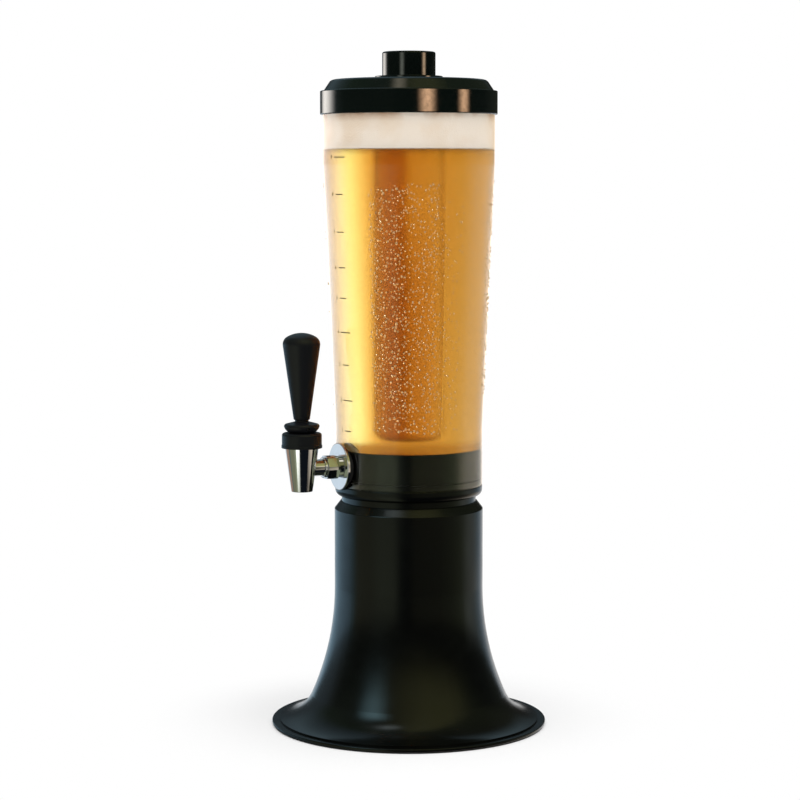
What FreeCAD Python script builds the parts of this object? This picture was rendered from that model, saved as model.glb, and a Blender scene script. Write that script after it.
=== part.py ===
import FreeCAD, Part
import math
import os
from types import SimpleNamespace

import Sketcher
from FreeCAD import Placement, Rotation, Vector

# Beer tower dispenser: a bell-shaped base carries a hub, the clear tank slips over the hub's cup, a
# self-closing lever tap is bolted through both walls, and an ice tube hangs in the tank from the lid.
# Z is up, the origin is the middle of the resting face, and the tap points along -Y. Millimetres.

SIZES = {
    # bell-shaped base, moulded in one piece
    "BaseHeight": 197.5,
    "ColumnRadius": 65.0,
    "ColumnChamfer": 5.2,
    "ColumnChamferDrop": 6.6,
    "ColumnEdge": 0.9,
    "BaseWall": 3.0,
    "DeckThickness": 4.0,
    "DeckHole": 20.0,
    "FlareBend": 236.2,
    "FlareAngle": 24.1,
    "FootBend": 34.8,
    "FootAngle": 84.0,
    "LipWidth": 6.8,
    "LipThickness": 2.8,
    "LipStep": 1.4,
    "LipRound": 0.9,
    "PadThickness": 1.2,
    "PadInset": 0.9,
    "PadRound": 0.4,
    "DeckRibs": 8,
    "RibDrop": 14.0,
    "RibGap": 3.4,
    "RibThickness": 2.0,
    # hub: its floor and the neck that stands on the base, and the cup inside the tank with its shoulder
    "NeckRadius": 58.8,
    "NeckWall": 3.5,
    "LipRoundHub": 5.6,
    "NeckHeight": 14.5,
    "ShoulderRound": 0.5,
    "HubLip": 4.0,
    "CupHeight": 32.0,
    "CupWall": 3.0,
    "CupSlip": 0.3,
    "FloorThickness": 3.5,
    "SpigotWall": 2.8,
    "SpigotDepth": 2.8,
    "SpigotSlip": 0.2,
    "LandDepth": 7.6,
    "SealHeight": 5.5,
    "SealSection": 1.9,
    "SealGrooveDepth": 1.65,
    "SealGrooveWidth": 2.3,
    # screws that come up through the base's deck into the hub
    "ScrewCircle": 40.0,
    "ScrewShank": 2.0,
    "ScrewHead": 4.6,
    "ScrewHeadHeight": 2.6,
    "ScrewGrip": 6.0,
    "ScrewSlip": 0.15,
    "ScrewDeckSlip": 0.6,
    "BossWall": 3.2,
    # clear tank
    "TankFoot": 64.4,
    "TankMouth": 74.3,
    "TankWall": 3.0,
    "TankHeight": 333.0,
    "FootCollar": 50.0,
    "MouthCollar": 55.0,
    "MouthRound": 0.8,
    # lid
    "LidSlip": 0.35,
    "LidSkirt": 2.0,
    "SkirtDrop": 12.1,
    "RingHeight": 20.5,
    "RingRound": 0.9,
    "RingStep": 2.9,
    "LidShoulderRise": 8.0,
    "LidShoulderRun": 5.4,
    "LidCrownRise": 1.5,
    "LidCrownRun": 3.4,
    "LidDeckRise": 1.3,
    "LidWall": 2.6,
    "PlugDrop": 10.0,
    "PlugWall": 2.2,
    "PlugSlip": 0.4,
    "PlugRound": 0.7,
    "LidGasketThickness": 1.5,
    "GuideLength": 9.0,
    "GuideWall": 2.5,
    # ice tube
    "IceRadius": 22.5,
    "IceWall": 2.0,
    "IceClearance": 40.0,
    "IceBottomRound": 9.0,
    "IceSlip": 0.3,
    "IceFlange": 5.0,
    "IceFlangeThickness": 2.0,
    "IceGasketThickness": 0.8,
    "IceGasketWidth": 3.2,
    # stopper of the ice tube
    "KnobRadius": 23.0,
    "KnobHeight": 20.8,
    "KnobRound": 1.6,
    "KnobWall": 2.6,
    "CapFlange": 6.2,
    "CapFlangeThickness": 1.9,
    "CapFlangeRound": 0.6,
    "StopperLength": 14.0,
    "StopperWall": 2.4,
    "StopperSlip": 0.6,
    "CapSealSection": 1.8,
    "CapSealHeight": 5.0,
    "CapSealSlip": 0.3,
    # tap: where it stands, and the line through the tank's wall
    "TapRise": 18.5,
    "TapReach": 102.0,
    "ShankRadius": 7.9,
    "ShankBore": 4.5,
    "ShankSlip": 0.3,
    "ShankTail": 9.5,
    "ShankNose": 5.4,
    "CollarLength": 2.4,
    "CollarRadius": 9.0,
    "CollarRound": 0.4,
    "GasketRadius": 18.4,
    "GasketThickness": 1.4,
    "EscutcheonRadius": 20.5,
    "EscutcheonThickness": 2.2,
    "EscutcheonRound": 0.7,
    "WasherRadius": 20.5,
    "WasherThickness": 2.5,
    "WasherRound": 0.6,
    "NutThickness": 5.0,
    "NutAcrossFlats": 24.0,
    "ThreadSlip": 0.1,
    "CouplingLength": 10.4,
    "CouplingAcrossFlats": 19.4,
    "CouplingTurning": 10.5,
    "CouplingEnd": 2.6,
    "CouplingWasher": 1.0,
    "ArmRadius": 7.3,
    "ArmRing": 8.7,
    "ArmRingWidth": 2.2,
    "ArmRingGap": 0.2,
    "ArmRingRound": 0.5,
    "ArmFlangeThickness": 1.3,
    # tap body, bonnet and valve
    "SpoutDrop": 19.5,
    "SpoutTip": 9.2,
    "SpoutTop": 14.5,
    "SpoutLength": 37.6,
    "SpoutBore": 6.2,
    "SpoutRound": 0.6,
    "SeatRun": 2.6,
    "SeatHeight": 14.0,
    "ChamberRadius": 8.8,
    "SpringRoomRadius": 10.6,
    "SpringRoomHeight": 27.0,
    "BodyNeckRadius": 13.0,
    "BodyNeckHeight": 9.2,
    "BonnetRadius": 17.1,
    "BonnetLip": 0.4,
    "BonnetLipHeight": 2.4,
    "BonnetLipRound": 0.3,
    "BonnetHeight": 13.0,
    "BonnetRound": 2.2,
    "BonnetPlate": 3.4,
    "StemRadius": 2.4,
    "StemSlip": 0.08,
    "StemCollarRadius": 8.2,
    "StemCollarThickness": 1.6,
    "StemCollarHeight": 28.0,
    "StemHead": 2.8,
    "SeatCupGap": 0.3,
    "SeatCupRim": 8.3,
    "SeatCupRimHeight": 3.5,
    "SeatCupNeck": 4.2,
    "SeatCupNeckHeight": 7.0,
    "StemTailGap": 1.0,
    "SpringWire": 0.6,
    "SpringRadius": 6.8,
    "SpringTurns": 5.0,
    "SpringEndGap": 0.1,
    # lever and grip
    "LeverGap": 0.3,
    "LeverFoot": 10.8,
    "LeverRim": 15.2,
    "LeverRimHeight": 5.0,
    "LeverBelly": 8.0,
    "LeverEdge": 2.1,
    "LeverBrow": 13.6,
    "LeverThickness": 9.5,
    "LeverNeck": 5.8,
    "LeverNeckHeight": 10.7,
    "LeverSlotWidth": 2.65,
    "LeverSlotReach": 5.6,
    "LeverSlotClearance": 0.6,
    "StudRadius": 3.0,
    "StudLength": 17.5,
    "StudGap": 0.2,
    "PinHeight": 4.1,
    "PinRadius": 1.25,
    "PinHalfLength": 11.5,
    "PinSlip": 0.05,
    "GripRadius": 16.05,
    "GripWidest": 64.8,
    "GripShoulder": 7.5,
    "GripTaperAngle": 8.1,
    "GripCrownAngle": 60.0,
    "GripFootRound": 1.3,
    "GripGateMark": 0.8,
}


class Size:
    """A length that keeps its formula in the sheet beside its value, through every sum made with it."""

    def __init__(self, formula, value):
        self.formula = formula
        self.value = value

    def __add__(self, other):
        other = as_size(other)
        return Size(f"({self.formula} + {other.formula})", self.value + other.value)

    def __sub__(self, other):
        other = as_size(other)
        return Size(f"({self.formula} - {other.formula})", self.value - other.value)

    def __mul__(self, other):
        other = as_size(other)
        return Size(f"({self.formula} * {other.formula})", self.value * other.value)

    def __truediv__(self, other):
        other = as_size(other)
        return Size(f"({self.formula} / {other.formula})", self.value / other.value)

    def __rsub__(self, other):
        return as_size(other) - self

    def __neg__(self):
        return as_size(0) - self

    __radd__ = __add__
    __rmul__ = __mul__


def as_size(number):
    return number if isinstance(number, Size) else Size(str(number), float(number))


def cosine(angle):
    angle = as_size(angle)
    return Size(f"cos({angle.formula} * 1deg)", math.cos(math.radians(angle.value)))


def sine(angle):
    angle = as_size(angle)
    return Size(f"sin({angle.formula} * 1deg)", math.sin(math.radians(angle.value)))


def root(number):
    return Size(f"sqrt({number.formula})", math.sqrt(number.value))


doc = FreeCAD.newDocument("BeerTower")
sheet = doc.addObject("Spreadsheet::Sheet", "Sizes")
for row, (alias, value) in enumerate(SIZES.items(), start=1):
    sheet.set(f"A{row}", alias)
    sheet.set(f"B{row}", str(value))
    sheet.setAlias(f"B{row}", alias)
doc.recompute()
s = SimpleNamespace(**{alias: Size(f"Sizes.{alias}", float(value)) for alias, value in SIZES.items()})
ZERO = as_size(0)
ON_SIDE = 90.0
SAME_PLACE = 0.02
HEXAGON_SIDES = 6
START, FINISH, CENTRE = 1, 2, 3
parts = []


# ---------------------------------------------------------------- sketches, bodies and simple solids


def new_body(label, x=ZERO, y=ZERO, z=ZERO, turn=0.0):
    """An empty body with its own placement; turn lays it on its side, so that its axis points along -Y."""
    body = doc.addObject("PartDesign::Body", label)
    body.Label = label
    body.Placement = Placement(Vector(x.value, y.value, z.value), Rotation(Vector(1, 0, 0), turn))
    for axis, place in zip("xyz", (x, y, z)):
        body.setExpression(f"Placement.Base.{axis}", place.formula)
    parts.append(body)
    return body


def new_sketch(body, name, plane, lift=ZERO):
    """A sketch on one of the body's own origin planes, lifted along the plane's normal."""
    support = next(item for item in body.Origin.OriginFeatures if item.Role == plane)
    sketch = body.newObject("Sketcher::SketchObject", f"{body.Name}_{name}")
    sketch.AttachmentSupport = [(support, "")]
    sketch.MapMode = "FlatFace"
    sketch.AttachmentOffset = Placement(Vector(0, 0, lift.value), Rotation())
    sketch.setExpression("AttachmentOffset.Base.z", lift.formula)
    return sketch


def constrain(sketch, kind, references, size):
    index = sketch.addConstraint(Sketcher.Constraint(kind, *references, size.value))
    sketch.setExpression(f"Constraints[{index}]", size.formula)


def pin_point(sketch, curve, end, x, y):
    """Hold one end of a curve at its distances from the sketch's origin."""
    for kind, size, axis in (("DistanceX", x, -2), ("DistanceY", y, -1)):
        if size is ZERO:
            sketch.addConstraint(Sketcher.Constraint("PointOnObject", curve, end, axis))
        else:
            constrain(sketch, kind, (-1, 1, curve, end), size)


def arc_through(start, finish, radius, side):
    """The short arc from start to finish, its centre on the given side of the way, and its first end."""
    chord = finish - start
    left = Vector(-chord.y, chord.x, 0).normalize()
    rise = math.sqrt(max(radius**2 - (chord.Length / 2) ** 2, 0))
    centre = (start + finish) * 0.5 + left * (rise if side == "left" else -rise)
    first, last = (start, finish) if side == "left" else (finish, start)
    angles = [math.atan2(point.y - centre.y, point.x - centre.x) for point in (first, last)]
    circle = Part.Circle(centre, Vector(0, 0, 1), radius)
    return Part.ArcOfCircle(circle, *angles), START if side == "left" else FINISH


def draw_outline(sketch, corners):
    """A closed outline. A corner is (x, y), or (x, y, radius, side) where an arc leads to it."""
    points = [Vector(corner[0].value, corner[1].value, 0) for corner in corners]
    ends = []
    for index, corner in enumerate(corners):
        start, finish = points[index - 1], points[index]
        if len(corner) == 2:
            curve = sketch.addGeometry(Part.LineSegment(start, finish))
            ends.append((curve, START, FINISH))
        else:
            arc, first_end = arc_through(start, finish, corner[2].value, corner[3])
            curve = sketch.addGeometry(arc)
            ends.append((curve, first_end, FINISH if first_end == START else START))
    for index, corner in enumerate(corners):
        curve, _, last_end = ends[index]
        following, first_end, _ = ends[(index + 1) % len(corners)]
        sketch.addConstraint(Sketcher.Constraint("Coincident", curve, last_end, following, first_end))
        pin_point(sketch, curve, last_end, corner[0], corner[1])
        if len(corner) > 2:
            constrain(sketch, "Radius", (curve,), corner[2])


def draw_circle(sketch, x, y, radius):
    circle = Part.Circle(Vector(x.value, y.value, 0), Vector(0, 0, 1), radius.value)
    curve = sketch.addGeometry(circle)
    pin_point(sketch, curve, CENTRE, x, y)
    constrain(sketch, "Radius", (curve,), radius)


def turned(body, corners, name="section", kind="PartDesign::Revolution"):
    """A solid of revolution, or a groove, from a half section in the XZ plane."""
    sketch = new_sketch(body, name, "XZ_Plane")
    draw_outline(sketch, corners)
    feature = body.newObject(kind, f"{body.Name}_{name}_turned")
    feature.Profile = sketch
    feature.ReferenceAxis = (sketch, ["V_Axis"])
    feature.Angle = 360
    doc.recompute()
    return feature


def bored(body, name, plane, circles, start, depth, outward=False):
    """Round holes from the lift start over the depth: (x, y, radius) of each circle in the plane."""
    sketch = new_sketch(body, name, plane, start)
    for x, y, radius in circles:
        draw_circle(sketch, x, y, radius)
    return cut_sketch(body, sketch, depth, outward)


def cut_sketch(body, sketch, depth, outward=False):
    before = body.Shape.Volume
    pocket = body.newObject("PartDesign::Pocket", f"{sketch.Name}_cut")
    pocket.Profile = sketch
    pocket.Length = depth.value
    pocket.setExpression("Length", depth.formula)
    pocket.Reversed = outward
    doc.recompute()
    if body.Shape.Volume >= before:
        raise RuntimeError(f"{pocket.Name} removes nothing")
    return pocket


def raise_sketch(body, sketch, height):
    pad = body.newObject("PartDesign::Pad", f"{sketch.Name}_pad")
    pad.Profile = sketch
    pad.Length = height.value
    pad.setExpression("Length", height.formula)
    doc.recompute()
    return pad


def repeated(body, feature, count):
    """Repeat a feature evenly about the body's own Z axis; count is a whole number in the sheet."""
    axis = next(item for item in body.Origin.OriginFeatures if item.Role == "Z_Axis")
    pattern = body.newObject("PartDesign::PolarPattern", f"{feature.Name}_repeated")
    pattern.Originals = [feature]
    pattern.Axis = (axis, [""])
    pattern.Angle = 360
    pattern.Occurrences = int(count.value)
    pattern.setExpression("Occurrences", count.formula)
    body.Tip = pattern
    doc.recompute()


def soften(body, radius, *rings):
    """Round the circular edges that lie at each (radius, height) of a turned body."""
    feature = body.Tip
    found = []
    for number, edge in enumerate(feature.Shape.Edges, start=1):
        if isinstance(edge.Curve, Part.Circle):
            at = (edge.Curve.Radius, edge.Curve.Center.z)
            if any(math.dist(at, (r.value, z.value)) < SAME_PLACE for r, z in rings):
                found.append(f"Edge{number}")
    if len(found) != len(rings):
        raise RuntimeError(f"{body.Label}: {len(found)} edges found, {len(rings)} to round")
    fillet = body.newObject("PartDesign::Fillet", f"{body.Name}_rounding{len(body.Group)}")
    fillet.Base = (feature, found)
    fillet.Radius = radius.value
    fillet.setExpression("Radius", radius.formula)
    doc.recompute()
    return fillet


def primitive(kind, name, sizes, x=ZERO, y=ZERO, z=ZERO, turn=0.0, about=Vector(1, 0, 0)):
    """A Part solid such as Part::Cylinder, with its sizes and its place bound to the sheet."""
    solid = doc.addObject(kind, name)
    solid.Placement = Placement(Vector(x.value, y.value, z.value), Rotation(about, turn))
    for key, size in sizes.items():
        setattr(solid, key, size.value)
        solid.setExpression(key, size.formula)
    for axis, place in zip("xyz", (x, y, z)):
        solid.setExpression(f"Placement.Base.{axis}", place.formula)
    return solid


def combine(kind, label, base, tool, keep=True):
    """A Part::Cut, Part::Fuse or Part::Common of two objects; keep marks it as a finished sub-part."""
    result = doc.addObject(kind, label)
    result.Base = base
    result.Tool = tool
    if keep:
        result.Label = label
        parts.append(result)
    doc.recompute()
    return result


# ---------------------------------------------------------------- bell-shaped base and its rubber ring

# The flare is two arcs that run into each other: a long one off the column and a tight one at the foot.
lip_top = s.PadThickness + s.LipThickness
flare_end_z = lip_top + s.LipStep
long_run = s.FlareBend * (1 - cosine(s.FlareAngle))
long_drop = s.FlareBend * sine(s.FlareAngle)
foot_run = s.FootBend * (cosine(s.FlareAngle) - cosine(s.FootAngle))
foot_drop = s.FootBend * (sine(s.FootAngle) - sine(s.FlareAngle))
flare_start = flare_end_z + long_drop + foot_drop
bend_r = s.ColumnRadius + long_run
bend_z = flare_start - long_drop
flare_end_r = bend_r + foot_run
rim_radius = flare_end_r + s.LipWidth
inner_bend_r = bend_r - s.BaseWall * cosine(s.FlareAngle)
inner_bend_z = bend_z - s.BaseWall * sine(s.FlareAngle)
inner_end_r = flare_end_r - s.BaseWall * cosine(s.FootAngle)
inner_end_z = flare_end_z - s.BaseWall * sine(s.FootAngle)
deck_under = s.BaseHeight - s.DeckThickness
chamfer_foot = s.BaseHeight - s.ColumnChamferDrop

horn_base = new_body("horn_base")
turned(
    horn_base,
    [
        (s.DeckHole, s.BaseHeight),
        (s.ColumnRadius - s.ColumnChamfer, s.BaseHeight),
        (s.ColumnRadius, chamfer_foot),
        (s.ColumnRadius, flare_start),
        (bend_r, bend_z, s.FlareBend, "left"),
        (flare_end_r, flare_end_z, s.FootBend, "left"),
        (flare_end_r, lip_top),
        (rim_radius, lip_top),
        (rim_radius, s.PadThickness),
        (inner_end_r, s.PadThickness),
        (inner_end_r, inner_end_z),
        (inner_bend_r, inner_bend_z, s.FootBend + s.BaseWall, "right"),
        (s.ColumnRadius - s.BaseWall, flare_start, s.FlareBend + s.BaseWall, "right"),
        (s.ColumnRadius - s.BaseWall, deck_under),
        (s.DeckHole, deck_under),
    ],
)
soften(horn_base, s.LipRound, (rim_radius, lip_top), (rim_radius, s.PadThickness))
soften(
    horn_base,
    s.ColumnEdge,
    (s.ColumnRadius - s.ColumnChamfer, s.BaseHeight),
    (s.ColumnRadius, chamfer_foot),
)

SCREW_ANGLES = (45, 135, 225, 315)
screw_places = [(s.ScrewCircle * cosine(angle), s.ScrewCircle * sine(angle)) for angle in SCREW_ANGLES]
deck_hole = s.ScrewShank + s.ScrewDeckSlip
bored(
    horn_base,
    "screw_holes",
    "XY_Plane",
    [(x, y, deck_hole) for x, y in screw_places],
    s.BaseHeight,
    s.DeckThickness,
)

# Triangular ribs stiffen the corner between the deck and the column, clear of the screws' heads.
# They bite into both walls.
column_inner = s.ColumnRadius - s.BaseWall
wall_middle = s.ColumnRadius - s.BaseWall / 2
deck_middle = s.BaseHeight - s.DeckThickness / 2
rib_start = s.ScrewCircle + s.ScrewHead + s.RibGap
rib_foot = deck_under - s.RibDrop
rib = new_sketch(horn_base, "rib", "XZ_Plane", -s.RibThickness / 2)
draw_outline(
    rib,
    [
        (rib_start, deck_middle),
        (rib_start, deck_under),
        (column_inner, rib_foot),
        (wall_middle, rib_foot),
        (wall_middle, deck_middle),
    ],
)
repeated(horn_base, raise_sketch(horn_base, rib, s.RibThickness), s.DeckRibs)

foot_ring = new_body("foot_ring")
turned(
    foot_ring,
    [
        (inner_end_r, ZERO),
        (rim_radius - s.PadInset, ZERO),
        (rim_radius - s.PadInset, s.PadThickness),
        (inner_end_r, s.PadThickness),
    ],
)
soften(foot_ring, s.PadRound, (rim_radius - s.PadInset, ZERO), (inner_end_r, ZERO))

# ---------------------------------------------------------------- hub, its cup, screws and seal

shoulder_z = s.BaseHeight + s.NeckHeight
tap_z = shoulder_z + s.TapRise
tank_foot_inner = s.TankFoot - s.TankWall
cup_radius = tank_foot_inner - s.CupSlip
cup_inner = cup_radius - s.CupWall
cup_top = shoulder_z + s.CupHeight
floor_top = shoulder_z - s.HubLip
floor_under = floor_top - s.FloorThickness
lip_round_run = s.TankFoot - s.NeckRadius
spigot_radius = s.DeckHole - s.SpigotSlip
seal_z = shoulder_z + s.SealHeight
seal_low = seal_z - s.SealGrooveWidth / 2
seal_high = seal_z + s.SealGrooveWidth / 2
seal_floor = cup_radius - s.SealGrooveDepth

hub = new_body("hub")
turned(
    hub,
    [
        (ZERO, floor_under),
        (spigot_radius - s.SpigotWall, floor_under),
        (spigot_radius - s.SpigotWall, s.BaseHeight - s.SpigotDepth),
        (spigot_radius, s.BaseHeight - s.SpigotDepth),
        (spigot_radius, floor_under),
        (s.NeckRadius - s.NeckWall, floor_under),
        (s.NeckRadius - s.NeckWall, s.BaseHeight),
        (s.NeckRadius, s.BaseHeight),
        (s.NeckRadius, floor_top - lip_round_run),
        (s.TankFoot, floor_top, s.LipRoundHub, "left"),
        (ZERO, floor_top),
    ],
)
bosses = new_sketch(hub, "bosses", "XY_Plane", s.BaseHeight)
for x, y in screw_places:
    draw_circle(bosses, x, y, s.ScrewShank + s.BossWall)
raise_sketch(hub, bosses, floor_under - s.BaseHeight)
bored(
    hub,
    "pilot_holes",
    "XY_Plane",
    [(x, y, s.ScrewShank + s.ScrewSlip) for x, y in screw_places],
    s.BaseHeight,
    s.ScrewGrip,
    outward=True,
)

# The cup is a ring welded onto the hub's floor; the tank's foot stands on its shoulder.
hub_cup = new_body("hub_cup")
turned(
    hub_cup,
    [
        (cup_inner, floor_top),
        (s.TankFoot, floor_top),
        (s.TankFoot, shoulder_z),
        (cup_radius, shoulder_z),
        (cup_radius, seal_low),
        (seal_floor, seal_low),
        (seal_floor, seal_high),
        (cup_radius, seal_high),
        (cup_radius, cup_top),
        (cup_inner, cup_top),
    ],
)
soften(hub_cup, s.ShoulderRound, (s.TankFoot, shoulder_z), (cup_radius, cup_top))
# A flat land inside the cup's front, where the washer and nut of the tap seat.
land_face = cup_radius - s.LandDepth
land_round = (cup_inner + seal_floor) / 2
land_half = root(land_round * land_round - land_face * land_face)
land = new_sketch(hub_cup, "land", "XY_Plane", floor_top)
draw_outline(land, [(land_half, -land_face, land_round, "left"), (-land_half, -land_face)])
raise_sketch(hub_cup, land, s.HubLip + s.CupHeight)
hole_radius = s.ShankRadius + s.ShankSlip
bored(hub_cup, "tap_hole", "XZ_Plane", [(ZERO, tap_z, hole_radius)], ZERO, s.TankFoot, outward=True)

screws = []
for number, (x, y) in enumerate(screw_places, start=1):
    head = primitive(
        "Part::Cylinder",
        f"screw_head_{number}",
        {"Radius": s.ScrewHead, "Height": s.ScrewHeadHeight},
        x,
        y,
        deck_under - s.ScrewHeadHeight,
    )
    shank = primitive(
        "Part::Cylinder",
        f"screw_shank_{number}",
        {"Radius": s.ScrewShank, "Height": s.DeckThickness + s.ScrewGrip - s.ScrewSlip},
        x,
        y,
        deck_under,
    )
    screws.append(combine("Part::Fuse", f"hub_screw_{number}", head, shank, keep=False))
hub_screws = doc.addObject("Part::Compound", "hub_screws")
hub_screws.Links = screws
parts.append(hub_screws)

seal_centre = tank_foot_inner - s.SealSection / 2
hub_seal = primitive(
    "Part::Torus",
    "hub_seal",
    {"Radius1": seal_centre, "Radius2": s.SealSection / 2},
    z=seal_z,
)
parts.append(hub_seal)

# ---------------------------------------------------------------- clear tank

tank_top = shoulder_z + s.TankHeight
foot_collar_top = shoulder_z + s.FootCollar
mouth_collar_foot = tank_top - s.MouthCollar
tank_mouth_inner = s.TankMouth - s.TankWall

tank = new_body("tank")
turned(
    tank,
    [
        (tank_foot_inner, shoulder_z),
        (s.TankFoot, shoulder_z),
        (s.TankFoot, foot_collar_top),
        (s.TankMouth, mouth_collar_foot),
        (s.TankMouth, tank_top),
        (tank_mouth_inner, tank_top),
        (tank_mouth_inner, mouth_collar_foot),
        (tank_foot_inner, foot_collar_top),
    ],
)
soften(tank, s.MouthRound, (s.TankMouth, tank_top), (tank_mouth_inner, tank_top))
soften(tank, s.ShoulderRound, (s.TankFoot, shoulder_z))
bored(tank, "tap_hole", "XZ_Plane", [(ZERO, tap_z, hole_radius)], ZERO, s.TankFoot * 2, outward=True)

# ---------------------------------------------------------------- lid and its gasket

ceiling = tank_top + s.LidGasketThickness
skirt_foot = tank_top - s.SkirtDrop
ring_top = skirt_foot + s.RingHeight
skirt_inner = s.TankMouth + s.LidSlip
ring_radius = skirt_inner + s.LidSkirt
shoulder_foot_r = ring_radius - s.RingStep
shoulder_top_r = shoulder_foot_r - s.LidShoulderRun
shoulder_top_z = ring_top + s.LidShoulderRise
crown_r = shoulder_top_r - s.LidCrownRun
crown_z = shoulder_top_z + s.LidCrownRise
deck_z = crown_z + s.LidDeckRise
plug_radius = tank_mouth_inner - s.PlugSlip
plug_inner = plug_radius - s.PlugWall
plug_foot = tank_top - s.PlugDrop
cap_flange_radius = s.KnobRadius + s.CapFlange
ice_flange_radius = s.IceRadius + s.IceFlange
seat_radius = ice_flange_radius + s.IceSlip
guide_inner = s.IceRadius + s.IceSlip
guide_outer = guide_inner + s.GuideWall
ledge_z = deck_z - s.IceFlangeThickness - s.IceGasketThickness

lid = new_body("lid")
turned(
    lid,
    [
        (skirt_inner, skirt_foot),
        (ring_radius, skirt_foot),
        (ring_radius, ring_top),
        (shoulder_foot_r, ring_top),
        (shoulder_top_r, shoulder_top_z),
        (crown_r, crown_z, s.LidShoulderRun, "left"),
        (cap_flange_radius + s.IceSlip, deck_z),
        (seat_radius, deck_z),
        (seat_radius, ledge_z),
        (guide_inner, ledge_z),
        (guide_inner, ledge_z - s.GuideLength),
        (guide_outer, ledge_z - s.GuideLength),
        (guide_outer, ledge_z - s.LidWall),
        (seat_radius + s.LidWall, ledge_z - s.LidWall),
        (seat_radius + s.LidWall, deck_z - s.LidWall),
        (crown_r - s.LidWall, crown_z - s.LidWall),
        (plug_inner, ring_top + s.LidWall),
        (plug_inner, plug_foot),
        (plug_radius, plug_foot),
        (plug_radius, ceiling),
        (skirt_inner, ceiling),
    ],
)
soften(lid, s.RingRound, (ring_radius, skirt_foot), (ring_radius, ring_top))
soften(lid, s.PlugRound, (plug_radius, plug_foot), (plug_inner, plug_foot))

lid_gasket = new_body("lid_gasket")
turned(
    lid_gasket,
    [
        (tank_mouth_inner, tank_top),
        (s.TankMouth, tank_top),
        (s.TankMouth, ceiling),
        (tank_mouth_inner, ceiling),
    ],
)

# ---------------------------------------------------------------- ice tube, its gasket and its stopper

ice_bottom = shoulder_z + s.IceClearance
ice_inner = s.IceRadius - s.IceWall
ice_inner_round = s.IceBottomRound - s.IceWall
ice_flange_foot = deck_z - s.IceFlangeThickness
ice_tube = new_body("ice_tube")
turned(
    ice_tube,
    [
        (s.IceRadius, ice_flange_foot),
        (ice_flange_radius, ice_flange_foot),
        (ice_flange_radius, deck_z),
        (ice_inner, deck_z),
        (ice_inner, ice_bottom + s.IceBottomRound),
        (ice_inner - ice_inner_round, ice_bottom + s.IceWall, ice_inner_round, "right"),
        (ZERO, ice_bottom + s.IceWall),
        (ZERO, ice_bottom),
        (s.IceRadius - s.IceBottomRound, ice_bottom),
        (s.IceRadius, ice_bottom + s.IceBottomRound, s.IceBottomRound, "left"),
    ],
)

ice_gasket = new_body("ice_gasket")
turned(
    ice_gasket,
    [
        (ice_flange_radius - s.IceGasketWidth, ledge_z),
        (ice_flange_radius, ledge_z),
        (ice_flange_radius, ice_flange_foot),
        (ice_flange_radius - s.IceGasketWidth, ice_flange_foot),
    ],
)

cap_flange_top = deck_z + s.CapFlangeThickness
knob_top = cap_flange_top + s.KnobHeight
stopper_radius = ice_inner - s.StopperSlip
stopper_foot = deck_z - s.StopperLength
stopper_inner = stopper_radius - s.StopperWall
knob_inner = s.KnobRadius - s.KnobWall
cap_seal_z = stopper_foot + s.CapSealHeight
cap_seal_centre = ice_inner - s.CapSealSlip - s.CapSealSection / 2
cap_groove_r = cap_seal_centre - s.CapSealSection / 2
cap_groove_low = cap_seal_z - s.CapSealSection / 2
cap_groove_high = cap_seal_z + s.CapSealSection / 2

ice_cap = new_body("ice_cap")
turned(
    ice_cap,
    [
        (ZERO, knob_top),
        (ZERO, knob_top - s.KnobWall),
        (knob_inner, knob_top - s.KnobWall),
        (knob_inner, cap_flange_top + s.KnobWall),
        (stopper_inner, cap_flange_top),
        (stopper_inner, stopper_foot),
        (stopper_radius, stopper_foot),
        (stopper_radius, cap_groove_low),
        (cap_groove_r, cap_groove_low),
        (cap_groove_r, cap_groove_high),
        (stopper_radius, cap_groove_high),
        (stopper_radius, deck_z),
        (cap_flange_radius, deck_z),
        (cap_flange_radius, cap_flange_top),
        (s.KnobRadius, cap_flange_top),
        (s.KnobRadius, knob_top),
    ],
)
soften(ice_cap, s.KnobRound, (s.KnobRadius, knob_top))
soften(ice_cap, s.CapFlangeRound, (cap_flange_radius, cap_flange_top), (stopper_radius, stopper_foot))

cap_seal = primitive(
    "Part::Torus",
    "cap_seal",
    {"Radius1": cap_seal_centre, "Radius2": s.CapSealSection / 2},
    z=cap_seal_z,
)
parts.append(cap_seal)

# ---------------------------------------------------------------- the tap's line through the wall

# These pieces are turned about the line that runs from the tank's axis out through its wall, so their
# second coordinate is the distance from the tank's axis.
gasket_face = s.TankFoot + s.GasketThickness
escutcheon_face = gasket_face + s.EscutcheonThickness
coupling_back = escutcheon_face + s.CollarLength
coupling_front = coupling_back + s.CouplingLength
shank_tip = coupling_back + s.ShankNose
arm_tip = shank_tip + s.CouplingWasher
washer_back = land_face - s.WasherThickness
nut_back = washer_back - s.NutThickness
thread_hole = s.ShankRadius + s.ThreadSlip

tap_shank = new_body("tap_shank", z=tap_z, turn=ON_SIDE)
turned(
    tap_shank,
    [
        (s.ShankBore, land_face - s.ShankTail),
        (s.ShankRadius, land_face - s.ShankTail),
        (s.ShankRadius, gasket_face),
        (s.EscutcheonRadius, gasket_face),
        (s.EscutcheonRadius, escutcheon_face),
        (s.CollarRadius, escutcheon_face),
        (s.CollarRadius, coupling_back),
        (s.ShankRadius, coupling_back),
        (s.ShankRadius, shank_tip),
        (s.ShankBore, shank_tip),
    ],
)
soften(tap_shank, s.EscutcheonRound, (s.EscutcheonRadius, escutcheon_face))
soften(tap_shank, s.CollarRound, (s.CollarRadius, coupling_back))

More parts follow.
